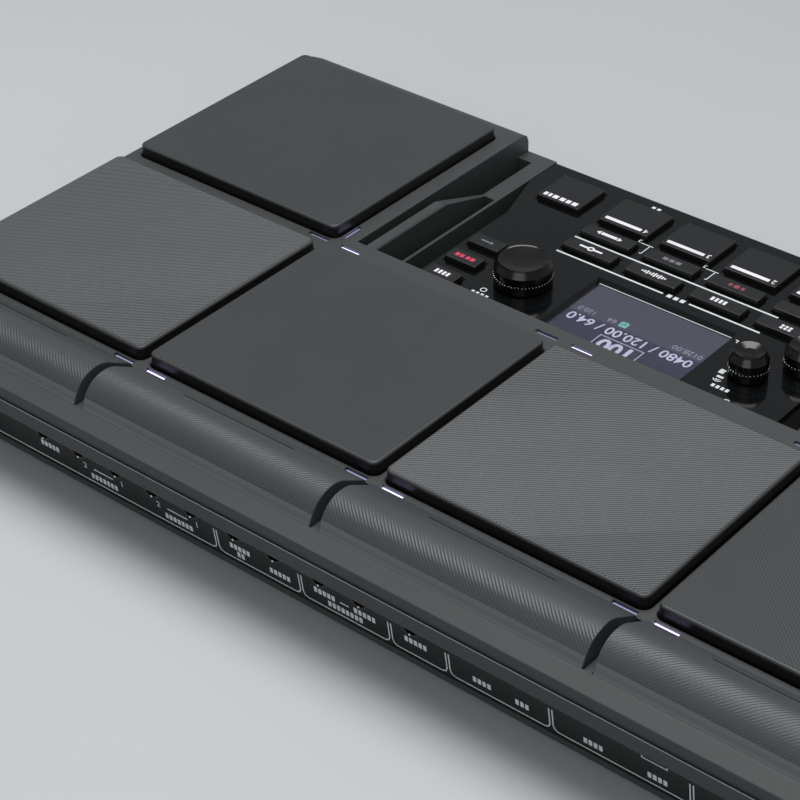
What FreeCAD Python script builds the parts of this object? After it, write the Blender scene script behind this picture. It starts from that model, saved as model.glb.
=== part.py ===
"""Sampling drum pad: six drum pads and four bar pads on one flat desktop case.

Millimetres. +X is the player's right, +Y is the rear with the sockets, +Z is up.
The origin is on the table, below the middle of the case.
"""
import FreeCAD, Part
import math
import os

os.makedirs("parts", exist_ok=True)

# Driving dimensions of the pad grid
column_pitch = 96.0
pad_gap = 3.3
pad_depth = 83.5
front_pad_depth = 89.3
row_gap = 9.4
bar_depth = 24.5
pad_corner = 2.6
pad_edge_round = 0.9
pad_clear = 0.5
bar_clear = 0.4
rear_rail_width = 3.4
side_rim = 3.3
front_rim = 9.6
ledge_depth = 9.0

# Heights above the table
foot_height = 2.0
pad_top_z = 40.5
rail_drop = 4.4
deck_drop = 12.0
groove_floor_z = 13.0
wall = 2.5
chassis_thick = 1.2
plate_thick = 1.2
cushion_thick = 2.5
case_corner = 9.0

# Rear of the case, measured from the rear face and from the rails
lip_height = 9.7
lip_recess = 8.5
panel_lean_deg = 8.0
panel_thick = 2.0
panel_clear = 0.2
jack_z = 20.3

# Control deck
deck_setback = 3.2
deck_width = 140.6
deck_front_width = 154.2
deck_straight = 56.9
deck_slant = 22.3
deck_thick = 2.5
deck_clear = 0.4
button_rise = 1.9
button_clear = 0.3
button_travel = 0.6
button_flange = 0.7
button_bevel = 0.3
board_thick = 1.6

# Light slots
slot_length = 8.4
slot_width = 1.6
slot_start = 2.7
slot_drop = 1.0
guide_width = 1.4
guide_height = 2.0
fit = 0.1

columns = 4
pad_width = column_pitch - pad_gap
column_x = [column_pitch * (i - (columns - 1) / 2) for i in range(columns)]
gap_x = [column_pitch * (i - columns / 2) for i in range(1, columns)]
case_width = columns * column_pitch - pad_gap + 2 * side_rim
half_width = case_width / 2

# Places along Y, from the rear face forwards
rear_band = pad_clear + rear_rail_width + bar_clear
case_depth = ledge_depth + bar_depth + rear_band + pad_depth + row_gap + front_pad_depth + front_rim
rear_y = case_depth / 2
front_y = -case_depth / 2
bar_back_y = rear_y - ledge_depth
bar_front_y = bar_back_y - bar_depth
pad_back_y = bar_front_y - rear_band
pad_front_y = pad_back_y - pad_depth
front_pad_back_y = pad_front_y - row_gap
front_pad_front_y = front_pad_back_y - front_pad_depth
rear_rail_y = pad_back_y + pad_clear + rear_rail_width / 2
deck_back_y = front_pad_back_y - deck_setback

# Levels
rail_z = pad_top_z - rail_drop
deck_z = pad_top_z - deck_drop
chassis_z = rail_z - lip_height
plate_z = chassis_z + chassis_thick + cushion_thick
pad_base_z = plate_z + plate_thick
frame_z = chassis_z + chassis_thick
floor_z = foot_height + wall
deck_low = deck_z - deck_thick

# Front pads and the grooved shoulders between them and the deck
front_pad_x = [column_x[0], column_x[-1]]
front_pad_inner = abs(front_pad_x[0]) - pad_width / 2
side_rail_width = 6.7
groove_outer = front_pad_inner - pad_clear - side_rail_width
groove_wall = 1.5
groove_front_y = front_y + 6.1
rim_thick = 1.2
deck_slant_back_y = deck_back_y - deck_straight
deck_slant_front_y = deck_slant_back_y - deck_slant
strip_inner = deck_front_width / 2 + deck_clear
strip_width = 6.8
strip_lead = 3.6
strip_back_y = deck_slant_back_y - strip_lead


def box(x0, x1, y0, y1, z0, z1):
    return Part.makeBox(x1 - x0, y1 - y0, z1 - z0, FreeCAD.Vector(x0, y0, z0))


def block(cx, cy, width, depth, z0, z1):
    return box(cx - width / 2, cx + width / 2, cy - depth / 2, cy + depth / 2, z0, z1)


def rod(cx, cy, radius, z0, z1):
    return Part.makeCylinder(radius, z1 - z0, FreeCAD.Vector(cx, cy, z0))


def prism_x(outline, x0, x1):
    """A Y-Z outline, extruded along X."""
    wire = Part.makePolygon([FreeCAD.Vector(x0, y, z) for y, z in outline + outline[:1]])
    return Part.Face(wire).extrude(FreeCAD.Vector(x1 - x0, 0, 0))


def prism_z(outline, z0, z1):
    """An X-Y outline, extruded upwards."""
    wire = Part.makePolygon([FreeCAD.Vector(x, y, z0) for x, y in outline + outline[:1]])
    return Part.Face(wire).extrude(FreeCAD.Vector(0, 0, z1 - z0))


def upright_edges(shape):
    found = []
    for edge in shape.Edges:
        low, high = edge.BoundBox.ZMin, edge.BoundBox.ZMax
        if edge.BoundBox.XLength < 1e-6 and edge.BoundBox.YLength < 1e-6 and high - low > 1e-6:
            found.append(edge)
    return found


def edges_at(shape, z):
    return [e for e in shape.Edges if abs(e.BoundBox.ZMin - z) < 1e-6 and abs(e.BoundBox.ZMax - z) < 1e-6]


def round_block(cx, cy, width, depth, z0, z1, corner, top=0.0):
    """A block with rounded upright edges and, if top is given, a rounded upper rim."""
    body = block(cx, cy, width, depth, z0, z1)
    body = body.makeFillet(corner, upright_edges(body))
    if top:
        body = body.makeFillet(top, edges_at(body, z1))
    return body


def revolve(profile, cx, cy):
    """A radius-height outline, turned about an upright axis."""
    points = [FreeCAD.Vector(cx + r, cy, z) for r, z in profile + profile[:1]]
    face = Part.Face(Part.makePolygon(points))
    return face.revolve(FreeCAD.Vector(cx, cy, 0), FreeCAD.Vector(0, 0, 1), 360)


def fuse(shapes):
    return shapes[0].multiFuse(shapes[1:]).removeSplitter()


def mirrored(shape):
    return shape.mirror(FreeCAD.Vector(0, 0, 0), FreeCAD.Vector(1, 0, 0))


def save(node, shape):
    if not shape.isValid():
        raise ValueError(node + " is not a valid solid")
    shape.exportStep("parts/" + node + ".step")
    print(node, len(shape.Solids), round(shape.Volume))


# Pads

pads = [(x, (pad_back_y + pad_front_y) / 2, pad_depth) for x in column_x]
pads += [(x, (front_pad_back_y + front_pad_front_y) / 2, front_pad_depth) for x in front_pad_x]


def drum_pad(cx, cy, depth):
    return round_block(cx, cy, pad_width, depth, pad_base_z, pad_top_z, pad_corner, pad_edge_round)


plate_margin = 3.0
cushion_margin = 12.0


def pad_plates():
    """The steel plates that the rubber pads are bonded to."""
    return Part.makeCompound([
        round_block(x, y, pad_width - 2 * plate_margin, d - 2 * plate_margin, plate_z, pad_base_z, pad_corner)
        for x, y, d in pads])


def sensor_cushions():
    """Foam sheets with the hit sensors, under every pad and bar."""
    low, high = frame_z, plate_z
    width = pad_width - 2 * cushion_margin
    sheets = [block(x, y, width, depth - 2 * cushion_margin, low, high) for x, y, depth in pads]
    bar_y = (bar_front_y + bar_back_y) / 2
    sheets += [block(x, bar_y, pad_width - cushion_margin, bar_depth * 0.5, low, high) for x in column_x]
    return Part.makeCompound(sheets)


# Bar pads: a low toe at the rail, a slope, and a round back that drops to the ledge

bar_toe_z = rail_z + 1.2
bar_crest_z = pad_top_z + 3.6
bar_tail_z = rail_z - 0.2
slit_width = 0.7
slit_depth = 0.8
slit_length = 45.0


def bar_pad(cx):
    def at(share, z):
        return FreeCAD.Vector(cx - pad_width / 2, bar_front_y + bar_depth * share, z)

    foot, toe = at(0, plate_z), at(0, bar_toe_z)
    slope_top, crest = at(0.34, bar_crest_z - 1.9), at(0.608, bar_crest_z)
    back, bend = at(0.844, bar_crest_z - 2.1), at(0.93, bar_crest_z - 4.6)
    tail, heel = at(1, bar_tail_z), at(1, plate_z)
    edges = [Part.LineSegment(foot, toe), Part.LineSegment(toe, slope_top), Part.Arc(slope_top, crest, back),
             Part.Arc(back, bend, tail), Part.LineSegment(tail, heel), Part.LineSegment(heel, foot)]
    wire = Part.Wire([e.toShape() for e in edges])
    body = Part.Face(wire).extrude(FreeCAD.Vector(pad_width, 0, 0))
    slit_y = bar_front_y + bar_depth * 0.17
    slope = (slope_top.z - toe.z) / (slope_top.y - toe.y)
    slit_z = toe.z + slope * (slit_y - bar_front_y)
    slit = block(cx, slit_y, slit_length, slit_width, slit_z - slit_depth, slit_z + 2.0)
    return body.cut(slit)


# Upper case: rails round every pad, the rear ledge with its lip, and the shoulders beside the deck

slot_y_front = front_pad_back_y + pad_clear + slot_width / 2 + 0.8
slot_x_side = front_pad_inner - pad_clear - slot_width / 2 - 0.6


def slot_boxes(spare, z0, z1, y_filter=None):
    """The light slots beside each crossing of the gaps, made wider by spare."""
    found = []
    for y in (rear_rail_y, slot_y_front):
        if y_filter is not None and abs(y - y_filter) > 1:
            continue
        for x in gap_x:
            for side in (-1, 1):
                cx = x + side * (slot_start + slot_length / 2)
                found.append(block(cx, y, slot_length + 2 * spare, slot_width - 2 * fit + 2 * spare, z0, z1))
    if y_filter is None or abs(slot_y_front - y_filter) < 1:
        for side in (-1, 1):
            cy = front_pad_back_y - slot_start - slot_length / 2
            found.append(block(side * slot_x_side, cy, slot_width - 2 * fit + 2 * spare,
                               slot_length + 2 * spare, z0, z1))
    return found


guide_end = gap_x[-1] + slot_start + slot_length + 1.0


def guide_body(y, spare):
    """The strip that feeds the slots of one rail, and the two branches of the front one."""
    top = frame_z + guide_height + spare
    half = guide_width / 2 + spare
    strips = [box(-guide_end - spare, guide_end + spare, y - half, y + half, frame_z, top)]
    if abs(y - slot_y_front) < 1:
        tip = front_pad_back_y - slot_start - slot_length - 0.5
        for side in (-1, 1):
            x = side * slot_x_side
            strips.append(box(x - half, x + half, tip - spare, y, frame_z, top))
    return strips


def light_guide(y):
    return fuse(guide_body(y, 0) + slot_boxes(0, frame_z, rail_z - slot_drop, y))


ledge_z = rail_z - 0.5
ledge_edge = 0.3
seam_step = 0.7
seam_z = rail_z - 4.85
seam_edge = 0.1
gap_drop = 0.25
rim_round = 3.5
rail_bevel = 0.35
ridge_bevel = 0.5


def case_outline():
    """The side view of the upper case, from the front rim to the lip over the sockets."""
    return [(front_y, chassis_z), (front_y, rail_z - rim_round), (front_y + 1.0, rail_z - 1.0),
            (front_y + rim_round, rail_z), (bar_back_y - 1.0, rail_z), (bar_back_y + bar_clear, ledge_z),
            (rear_y - seam_step - ledge_edge, ledge_z), (rear_y - seam_step, ledge_z - ledge_edge),
            (rear_y - seam_step, seam_z), (rear_y - seam_edge, seam_z), (rear_y, seam_z - seam_edge),
            (rear_y, chassis_z)]


def pad_well(cx, cy, depth):
    """The opening of a pad, with a fine bevel round its mouth."""
    width, depth = pad_width + 2 * pad_clear, depth + 2 * pad_clear
    corner = pad_corner + pad_clear
    low, grow = rail_z - rail_bevel, 2 * rail_bevel
    mouth = round_block(cx, cy, width + grow, depth + grow, low, pad_top_z, corner + rail_bevel)
    mouth = mouth.makeChamfer(rail_bevel, edges_at(mouth, low))
    return round_block(cx, cy, width, depth, frame_z - 1, pad_top_z, corner).fuse(mouth)


ridge_width = 4.0
ridge_foot_width = 1.6
groove_width = 4.0
ridge_length = 36.9
ridge_outer = groove_outer - groove_width
ridge_inner = ridge_outer - ridge_width
ridge_slope_y = deck_back_y - ridge_length


def deck_outline(spare):
    """The plan of the deck: straight sides that spread out towards the front."""
    half, front_half = deck_width / 2 + spare, deck_front_width / 2 + spare
    right = [(half, deck_back_y - deck_clear + spare), (half, deck_slant_back_y),
             (front_half, deck_slant_front_y), (front_half, front_y - 2 * spare)]
    return right + [(-x, y) for x, y in reversed(right)]


def shoulder():
    """The grooves beside the deck: a floor, four upright walls and the rib that slopes down to the strip."""
    low, top = groove_floor_z, deck_z
    wall_x = deck_width / 2 - rim_thick
    outer = groove_outer + groove_wall
    front, back = groove_front_y - groove_wall, deck_back_y + groove_wall
    pieces = [box(wall_x, outer, front, back, low, low + groove_wall),
              box(groove_outer, outer, front, back, low, frame_z),
              box(wall_x, outer, deck_back_y, back, low, frame_z),
              box(wall_x, outer, front, groove_front_y, low, deck_low),
              box(strip_inner, outer, front, groove_front_y, low, top),
              box(wall_x, wall_x + rim_thick, front, back, low, deck_low),
              box(strip_inner, strip_inner + strip_width, front, strip_back_y, low, top),
              box(strip_inner, strip_inner + rim_thick, strip_back_y - 1, back, low, top)]
    strip_x = strip_inner + 0.1
    corner = [(wall_x, deck_slant_back_y), (deck_width / 2, deck_slant_back_y), (strip_x, deck_slant_front_y),
              (strip_x, deck_slant_front_y - 3.2)]
    pieces.append(prism_z(corner, low, deck_low))
    side = prism_x([(back, low), (back, rail_z), (ridge_slope_y, rail_z), (strip_back_y - 0.5, top),
                    (strip_back_y - 0.5, low)], ridge_inner - 1, ridge_outer + 1)
    foot, foot_outer = strip_back_y - 1, strip_inner + strip_width
    plan = prism_z([(ridge_inner, back), (ridge_outer, back), (ridge_outer, ridge_slope_y),
                    (foot_outer, foot), (foot_outer - ridge_foot_width, foot), (ridge_inner, ridge_slope_y)],
                   low, rail_z + 1)
    rib = side.common(plan)
    inner = [e for e in rib.Edges if e.BoundBox.XMax < ridge_inner + 1e-6 and e.BoundBox.ZMax > rail_z - 1e-6
             and e.BoundBox.YLength > 1]
    pieces.append(rib.makeChamfer(ridge_bevel, inner))
    return fuse(pieces)


def case_top():
    body = prism_x(case_outline(), -half_width, half_width)
    trim = block(0, 0, case_width, case_depth, chassis_z - 1, pad_top_z)
    body = body.common(trim.makeFillet(case_corner, upright_edges(trim)))
    inner = half_width - wall
    well_back = bar_back_y + bar_clear
    under = [box(-inner, inner, front_y + wall, well_back + 0.4, chassis_z - 1, frame_z)]
    wells = [pad_well(*place) for place in pads]
    bar_y = (bar_front_y + bar_back_y) / 2
    well_width, well_depth = pad_width + 2 * bar_clear, bar_depth + 2 * bar_clear
    wells += [block(x, bar_y, well_width, well_depth, frame_z - 1, pad_top_z) for x in column_x]
    half_gap = pad_gap / 2
    well_front, gap_floor = bar_front_y - bar_clear, ledge_z - gap_drop
    wells += [box(x - half_gap, x + half_gap, well_front, well_back, gap_floor, pad_top_z) for x in gap_x]
    wells.append(box(-groove_outer, groove_outer, front_y - 1, deck_back_y, deck_z, pad_top_z))
    wells.append(box(-groove_outer, groove_outer, groove_front_y, deck_back_y, chassis_z - 1, pad_top_z))
    wells.append(prism_z(deck_outline(deck_clear), chassis_z - 1, pad_top_z))
    guides = guide_body(rear_rail_y, fit) + guide_body(slot_y_front, fit)
    holes = [rod(x, y, screw_radius + fit, chassis_z - 1, rail_screw_top + 0.5) for x, y in rail_bosses]
    body = body.cut(Part.makeCompound(under)).cut(Part.makeCompound(wells))
    side = shoulder()
    body = body.multiFuse([side, mirrored(side)])
    for cutter in guides + slot_boxes(fit, frame_z, pad_top_z) + holes:
        body = body.cut(cutter)
    return body.removeSplitter()


# Lower case: a tray with tapered walls, bosses for the chassis and the deck, and seats for the feet

panel_lean = math.tan(math.radians(panel_lean_deg))
panel_face_y = rear_y - lip_recess
upstand_z = 5.0
upstand_bevel = 0.9
panel_end_x = half_width - 8.0
tray_inset = 0.5
tray_draft = 1.6
tray_bevel = 2.0
boss_radius = 4.0
screw_radius = 1.5
screw_head_radius = 3.0
screw_head_height = 2.0
deck_boss_radius = 2.0
side_boss_x = half_width - 11.25
row_boss_y = pad_front_y - row_gap * 0.45
front_boss_y = front_y + 7.4
plate_bosses = [(sx * x, y) for sx in (-1, 1) for x, y in ((side_boss_x, pad_back_y - 7.0),
                                                           (column_pitch, pad_back_y - 19.0))]
outer_boss_x = column_x[-1] + 6.0
inner_boss_x = deck_width / 2 - 30.3
corner_boss_x = front_pad_inner + 2.35
right_bosses = [(outer_boss_x, row_boss_y), (inner_boss_x, row_boss_y), (outer_boss_x, front_boss_y),
                (corner_boss_x, front_boss_y)]
rail_bosses = [(sx * x, y) for sx in (-1, 1) for x, y in right_bosses]
rail_screw_top = rail_z - 3.0
bosses = plate_bosses + rail_bosses
deck_boss_inset = 4.3
deck_boss_x = deck_width / 2 - deck_boss_inset
front_deck_boss = (34.0, front_y + 3.7)
deck_bosses = [(sx * x, y) for sx in (-1, 1) for x, y in ((deck_boss_x, deck_back_y - 3.1),
                                                          (deck_boss_x, deck_slant_back_y), front_deck_boss)]
foot_inset = 26.0
front_foot_y = front_y + 28.8
middle_foot_y = front_y + 36.8
foot_places = [(sx * (half_width - foot_inset), y) for sx in (-1, 1) for y in (rear_y - 30.8, front_foot_y)]
foot_places.append((0.0, middle_foot_y))
foot_radius = 9.0
foot_seat = 1.5
insert_spacing = 115.0
insert_radius = 4.5
insert_length = 9.0
insert_bore = 2.5
insert_places = [(sx * insert_spacing / 2, sy * insert_spacing / 2) for sx in (-1, 1) for sy in (-1, 1)]


def panel_y(z):
    """The outer face of the leaning socket panel at a height."""
    return panel_face_y + (z - jack_z) * panel_lean


def round_outline(inset, z):
    """A closed rounded rectangle, as a wire for lofting. Its rear runs past the socket panel."""
    half, front, back = half_width - tray_inset - inset, front_y + tray_inset + inset, rear_y + 20
    plate = box(-half, half, front, back, z, z + 1)
    plate = plate.makeFillet(case_corner, upright_edges(plate))
    return [f for f in plate.Faces if abs(f.CenterOfMass.z - z) < 1e-6][0].OuterWire


def tub(inset, top):
    """The tapered tray with its bevelled foot, made smaller all round by inset."""
    low = foot_height + inset
    bend = round_outline(tray_draft + inset, low + tray_bevel)
    upper = Part.makeLoft([bend, round_outline(inset, top)], True, True)
    lower = Part.makeLoft([round_outline(tray_draft + tray_bevel + inset, low), bend], True, True)
    return upper.fuse(lower)


def case_bottom():
    outer, hollow = tub(0, chassis_z), tub(wall, chassis_z + 1)
    foot_y = panel_y(upstand_z) + 0.3
    past, over = rear_y + 40, chassis_z + 2
    behind = prism_x([(foot_y - upstand_bevel, 0), (foot_y - upstand_bevel, foot_height),
                      (foot_y, foot_height + upstand_bevel),
                      (foot_y, upstand_z), (panel_y(upstand_z), upstand_z), (panel_y(over), over),
                      (past, over), (past, 0)], -case_width, case_width)
    inside = foot_y - wall
    panel_seat = panel_thick + 0.4
    bench = prism_x([(inside, 0), (inside, upstand_z), (panel_y(upstand_z) - panel_seat, upstand_z),
                     (panel_y(over) - panel_seat, over), (past, over), (past, 0)], -panel_end_x, panel_end_x)
    ends = box(panel_end_x, case_width, panel_y(upstand_z) - 6, past, 0, over)
    under = box(-case_width, case_width, inside - 1, past, 0, upstand_z)
    low_floor = box(-case_width, case_width, inside, past, 0, upstand_z)
    hollow = hollow.cut(low_floor).cut(ends).cut(mirrored(ends))
    bench = bench.cut(under)
    posts = [rod(x, y, boss_radius, foot_height, chassis_z) for x, y in bosses]
    posts += [rod(x, y, deck_boss_radius, foot_height, deck_low) for x, y in deck_bosses]
    posts += [rod(x, y, insert_radius + 2.0, foot_height, foot_height + insert_length + 1.5)
              for x, y in insert_places]
    posts += [rod(x, y, foot_radius + 1.5, foot_height, floor_z + foot_seat) for x, y in foot_places]
    body = outer.cut(hollow).cut(bench).multiFuse(posts).common(outer).cut(behind)
    body = body.cut(prism_z(deck_outline(deck_clear), deck_low, chassis_z + 1))
    shoulder_x = groove_outer + groove_wall + 0.4
    slot_front, slot_back = front_y + tray_inset + 2.7, front_y + 12
    body = body.cut(box(-shoulder_x, shoulder_x, slot_front, slot_back, deck_low, chassis_z + 1))
    holes = [rod(x, y, screw_radius + fit, foot_height - 1, chassis_z + 1) for x, y in bosses]
    holes += [rod(x, y, screw_head_radius + 0.4, foot_height - 1, foot_height + screw_head_height + 0.4)
              for x, y in bosses]
    below = foot_height - 1
    holes += [rod(x, y, insert_radius, below, foot_height + insert_length) for x, y in insert_places]
    holes += [rod(x, y, foot_radius + fit, below, foot_height + foot_seat) for x, y in foot_places]
    return body.cut(Part.makeCompound(holes)).removeSplitter()


def case_screws():
    recess = foot_height + 0.4
    screws = []
    for places, top in ((plate_bosses, frame_z), (rail_bosses, rail_screw_top)):
        for x, y in places:
            head = rod(x, y, screw_head_radius, recess, recess + screw_head_height)
            screws.append(fuse([head, rod(x, y, screw_radius, recess, top)]))
    return Part.makeCompound(screws)


def stand_inserts():
    tubes = []
    for x, y in insert_places:
        tube = rod(x, y, insert_radius, foot_height, foot_height + insert_length)
        tubes.append(tube.cut(rod(x, y, insert_bore, foot_height - 1, foot_height + insert_length - 1.5)))
    return Part.makeCompound(tubes)


def feet():
    pads_low = []
    for x, y in foot_places:
        profile = [(0, 0), (foot_radius - 1.6, 0), (foot_radius - 0.6, 1.0), (foot_radius, foot_height),
                   (foot_radius, foot_height + foot_seat), (0, foot_height + foot_seat)]
        pads_low.append(revolve(profile, x, y))
    return Part.makeCompound(pads_low)


def chassis_plate():
    """The steel sheet that every pad is mounted on, cut out round the deck and its shoulders."""
    inner = half_width - wall - 0.4
    body = box(-inner, inner, front_y + wall + 0.6, rear_y - lip_recess - 4.2, chassis_z, frame_z)
    open_half = groove_outer + groove_wall + 0.4
    open_back = deck_back_y + groove_wall + 0.4
    body = body.cut(box(-open_half, open_half, front_y, open_back, chassis_z - 1, frame_z + 1))
    corners = [e for e in upright_edges(body) if abs(e.BoundBox.XMin) > half_width - 10]
    body = body.makeFillet(case_corner - wall, corners)
    holes = [rod(x, y, screw_radius + fit, chassis_z - 1, frame_z + 1) for x, y in bosses]
    holes += [round_block(x, 30.0, 26.0, 12.0, chassis_z - 1, frame_z + 1, 5.0) for x in column_x]
    return body.cut(Part.makeCompound(holes))


# Rear sockets, level, behind the leaning panel. They are drawn with the panel's face at zero along Y

jack_bore = 3.2
jack_ring = 4.6
jack_ring_out = 1.2
jack_body = 11.4
jack_length = 26.0
socket_back = 3.4
jack_board_end = 40.0
jack_board_depth = 26.0
panel_low = (upstand_z + 0.2 - jack_z) / math.cos(math.radians(panel_lean_deg))
panel_high = (chassis_z - 0.3 - jack_z) / math.cos(math.radians(panel_lean_deg))
output_x = [112.6, 96.8, 80.7, 65.0, 48.8]
input_x = [31.3, 15.5]
trigger_x = [-2.2, -17.5, -36.4]
midi_x = [-60.0, -74.0]
midi_bore = 1.8
midi_ring = 3.2
usb_host_x = -98.0
usb_device_x = -119.0
usb_host_size = (13.2, 5.8)
usb_device_size = (8.6, 7.9)
usb_skin = 0.5
usb_shapes = [(usb_host_x, usb_host_size, 13.0, 11.1, 1.9, usb_host_size[1] / 2 - usb_skin - 1.9),
              (usb_device_x, usb_device_size, 15.0, 5.0, 3.2, -1.6)]
dc_x = -146.0
dc_bore = 2.8
dc_pin = 0.95
dc_ring = 5.2
power_x = -168.0
power_radius = 4.2
power_travel = 2.0
power_proud = 2.8


def at_rear(shape):
    """Move a piece drawn round the socket centre line to the rear of the case."""
    placed = shape.copy()
    placed.translate(FreeCAD.Vector(0, panel_face_y, jack_z))
    return placed


def rod_y(cx, cz, radius, y0, y1):
    return Part.makeCylinder(radius, y1 - y0, FreeCAD.Vector(cx, y0, cz), FreeCAD.Vector(0, 1, 0))


def jack_panel():
    body = box(-panel_end_x + panel_clear, panel_end_x - panel_clear, -panel_thick, 0, panel_low, panel_high)
    body.rotate(FreeCAD.Vector(0, 0, 0), FreeCAD.Vector(1, 0, 0), -panel_lean_deg)
    holes = [rod_y(x, 0, jack_ring + panel_clear, -5, 5) for x in output_x + input_x + trigger_x]
    holes += [rod_y(x, 0, midi_ring + panel_clear, -5, 5) for x in midi_x]
    for x, (width, height) in ((usb_host_x, usb_host_size), (usb_device_x, usb_device_size)):
        half, rise = width / 2 + panel_clear, height / 2 + panel_clear
        holes.append(box(x - half, x + half, -5, 5, -rise, rise))
    holes += [rod_y(dc_x, 0, dc_ring + panel_clear, -5, 5), rod_y(power_x, 0, power_radius + 0.4, -5, 5)]
    return at_rear(body.cut(Part.makeCompound(holes)))


def ring_jack(x, ring, ring_out, size, length, bore, depth):
    """A round-mouthed socket: a bushing through the panel and a square body behind it."""
    mouth = rod_y(x, 0, ring, -socket_back - 1.0, ring_out)
    rim = [e for e in mouth.Edges if abs(e.BoundBox.YMin - ring_out) < 1e-6 and e.BoundBox.YLength < 1e-6]
    mouth = mouth.makeFillet(min(0.5, ring_out / 2), rim)
    back = box(x - size / 2, x + size / 2, -socket_back - length, -socket_back, -size / 2, size / 2)
    return fuse([mouth, back]).cut(rod_y(x, 0, bore, ring_out - depth, ring_out + 1))


jack_bore_depth = 28.0


def jack_bank(places):
    sizes = (jack_ring, jack_ring_out, jack_body, jack_length, jack_bore, jack_bore_depth)
    return at_rear(Part.makeCompound([ring_jack(x, *sizes) for x in places]))


def midi_jacks():
    return at_rear(Part.makeCompound([
        ring_jack(x, midi_ring, 0.8, 8.0, 12.0, midi_bore, 14.0) for x in midi_x]))


def usb_sockets():
    shells = []
    for x, size, depth, tongue_width, tongue_height, drop in usb_shapes:
        half, rise = size[0] / 2, size[1] / 2
        shell = box(x - half, x + half, -depth, 0.5, -rise, rise)
        half, rise = half - usb_skin, rise - usb_skin
        mouth = box(x - half, x + half, -depth + 1.5, 1, -rise, rise)
        tongue = box(x - tongue_width / 2, x + tongue_width / 2, -depth + 1, -1.0, drop, drop + tongue_height)
        shells.append(shell.cut(mouth).fuse(tongue).removeSplitter())
    return at_rear(Part.makeCompound(shells))


def dc_inlet():
    body = ring_jack(dc_x, dc_ring, 0.8, 11.0, 12.0, dc_bore, 11.0)
    return at_rear(fuse([body, rod_y(dc_x, 0, dc_pin, -10.5, -0.8)]))


def power_button():
    cap = rod_y(power_x, 0, power_radius, -socket_back, power_proud)
    rim = [e for e in cap.Edges if abs(e.BoundBox.YMin - power_proud) < 1e-6 and e.BoundBox.YLength < 1e-6]
    cap = cap.makeFillet(0.5, rim)
    collar = rod_y(power_x, 0, power_radius + 1.2, -socket_back - 1.2, -socket_back + 0.5)
    stem = rod_y(power_x, 0, 1.5, -socket_back - 3.2, -socket_back)
    return at_rear(fuse([cap, collar, stem]))


def jack_board():
    """The board under the sockets, with the power switch and the ribbon header on it."""
    top = -jack_body / 2
    board = box(-panel_end_x + 4, panel_end_x - jack_board_end, -socket_back - jack_board_depth, -socket_back,
                top - board_thick, top)
    switch = box(power_x - 5, power_x + 5, -18.8, -socket_back - 3.4 - power_travel, top, 5.0)
    pieces = [board, switch, box(130, 144, -24, -18, top, top + 7)]
    for x, half, low in ((usb_host_x, 5, -usb_host_size[1] / 2), (usb_device_x, 4, -usb_device_size[1] / 2),
                         (midi_x[0], 3, -4.0), (midi_x[1], 3, -4.0), (dc_x, 4, -5.5)):
        pieces.append(box(x - half, x + half, -13, -socket_back - 0.4, top, low))
    return at_rear(fuse(pieces))


# Control deck: a plate below the rails with its buttons, knobs and display

button_pitch = 25.8
button_first_x = deck_width / 2 - 39.1
button_x = [button_first_x - button_pitch * i for i in range(4)]
button_width = 20.3
track_button_y = deck_back_y - 79.15
track_button_depth = 16.8
upper_row_y = deck_back_y - 63.3
lower_row_y = deck_back_y - 52.55
row_button_depth = 6.0
stop_button_width = 17.9
stop_button_x = deck_width / 2 - 11.3
side_button_width = 13.0
side_button_x = deck_width / 2 - 8.7
side_button_depth = 6.4
side_button_pitch = 12.35
side_button_y = [deck_back_y - 9.8 - side_button_pitch * i for i in range(3)]
button_corner = 0.7
button_top_round = 0.35
buttons = {}
for index, x in enumerate(button_x):
    buttons["track_button_%d" % (4 - index)] = (x, track_button_y, button_width, track_button_depth)
    buttons["upper_button_%d" % (4 - index)] = (x, upper_row_y, button_width, row_button_depth)
    buttons["lower_button_%d" % (4 - index)] = (x, lower_row_y, button_width, row_button_depth)
buttons["stop_button"] = (stop_button_x, track_button_y, stop_button_width, track_button_depth)
for name, y in zip(("edit_button", "write_button", "exit_button"), side_button_y):
    buttons[name] = (side_button_x, y, side_button_width, side_button_depth)

display_width = 52.7
display_depth = 38.3
display_x0 = -33.2
display_x1 = display_x0 + display_width
display_y1 = deck_back_y - 3.2
display_y0 = display_y1 - display_depth
display_drop = 1.5
display_bevel = 1.1
window_thick = 1.0
lcd_border = 1.6
lcd_thick = 2.6
knob_clear = 0.6
board_drop = 6.0
board_z = deck_low - board_drop
switch_height = 1.1
switch_size = 6.0
post_back_y = deck_back_y - 6.9
post_front_y = display_y0 - 0.4
side_post_y = deck_slant_back_y + 1.0
post_places = [(display_x1 + 6.5, post_back_y), (display_x1 + 6.5, post_front_y),
               (display_x0 - 7.3, post_back_y), (display_x0 - 7.3, post_front_y),
               (deck_width / 2 - 16.3, side_post_y), (8.3 - deck_width / 2, side_post_y)]
post_radius = 1.8
shaft_radius = 3.0
shaft_clear = 0.05
bushing_radius = 4.6
large_knob = 9.95
small_knob = 6.45
knobs = {
    "value": (display_x1 + 18.9, deck_back_y - 24.0, large_knob, 13.0),
    "metronome": (20.7 - deck_width / 2, deck_back_y - 25.0, small_knob, 9.6),
    "volume": (8.7 - deck_width / 2, deck_back_y - 38.5, small_knob, 9.6)}
knob_height = 9.5
knob_top_z = deck_z + knob_height


def button(x, y, width, depth):
    """A key cap with a flange under the deck and a post over its switch."""
    low = deck_low - 1.2
    cap = round_block(x, y, width, depth, low, deck_z + button_rise, button_corner, button_top_round)
    flange = block(x, y, width + 2 * button_flange, depth + 2 * button_flange, low, deck_low)
    post = rod(x, y, 1.5, board_z + board_thick + switch_height + button_travel + 0.1, deck_low - 1.0)
    return fuse([cap, flange, post])


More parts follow.
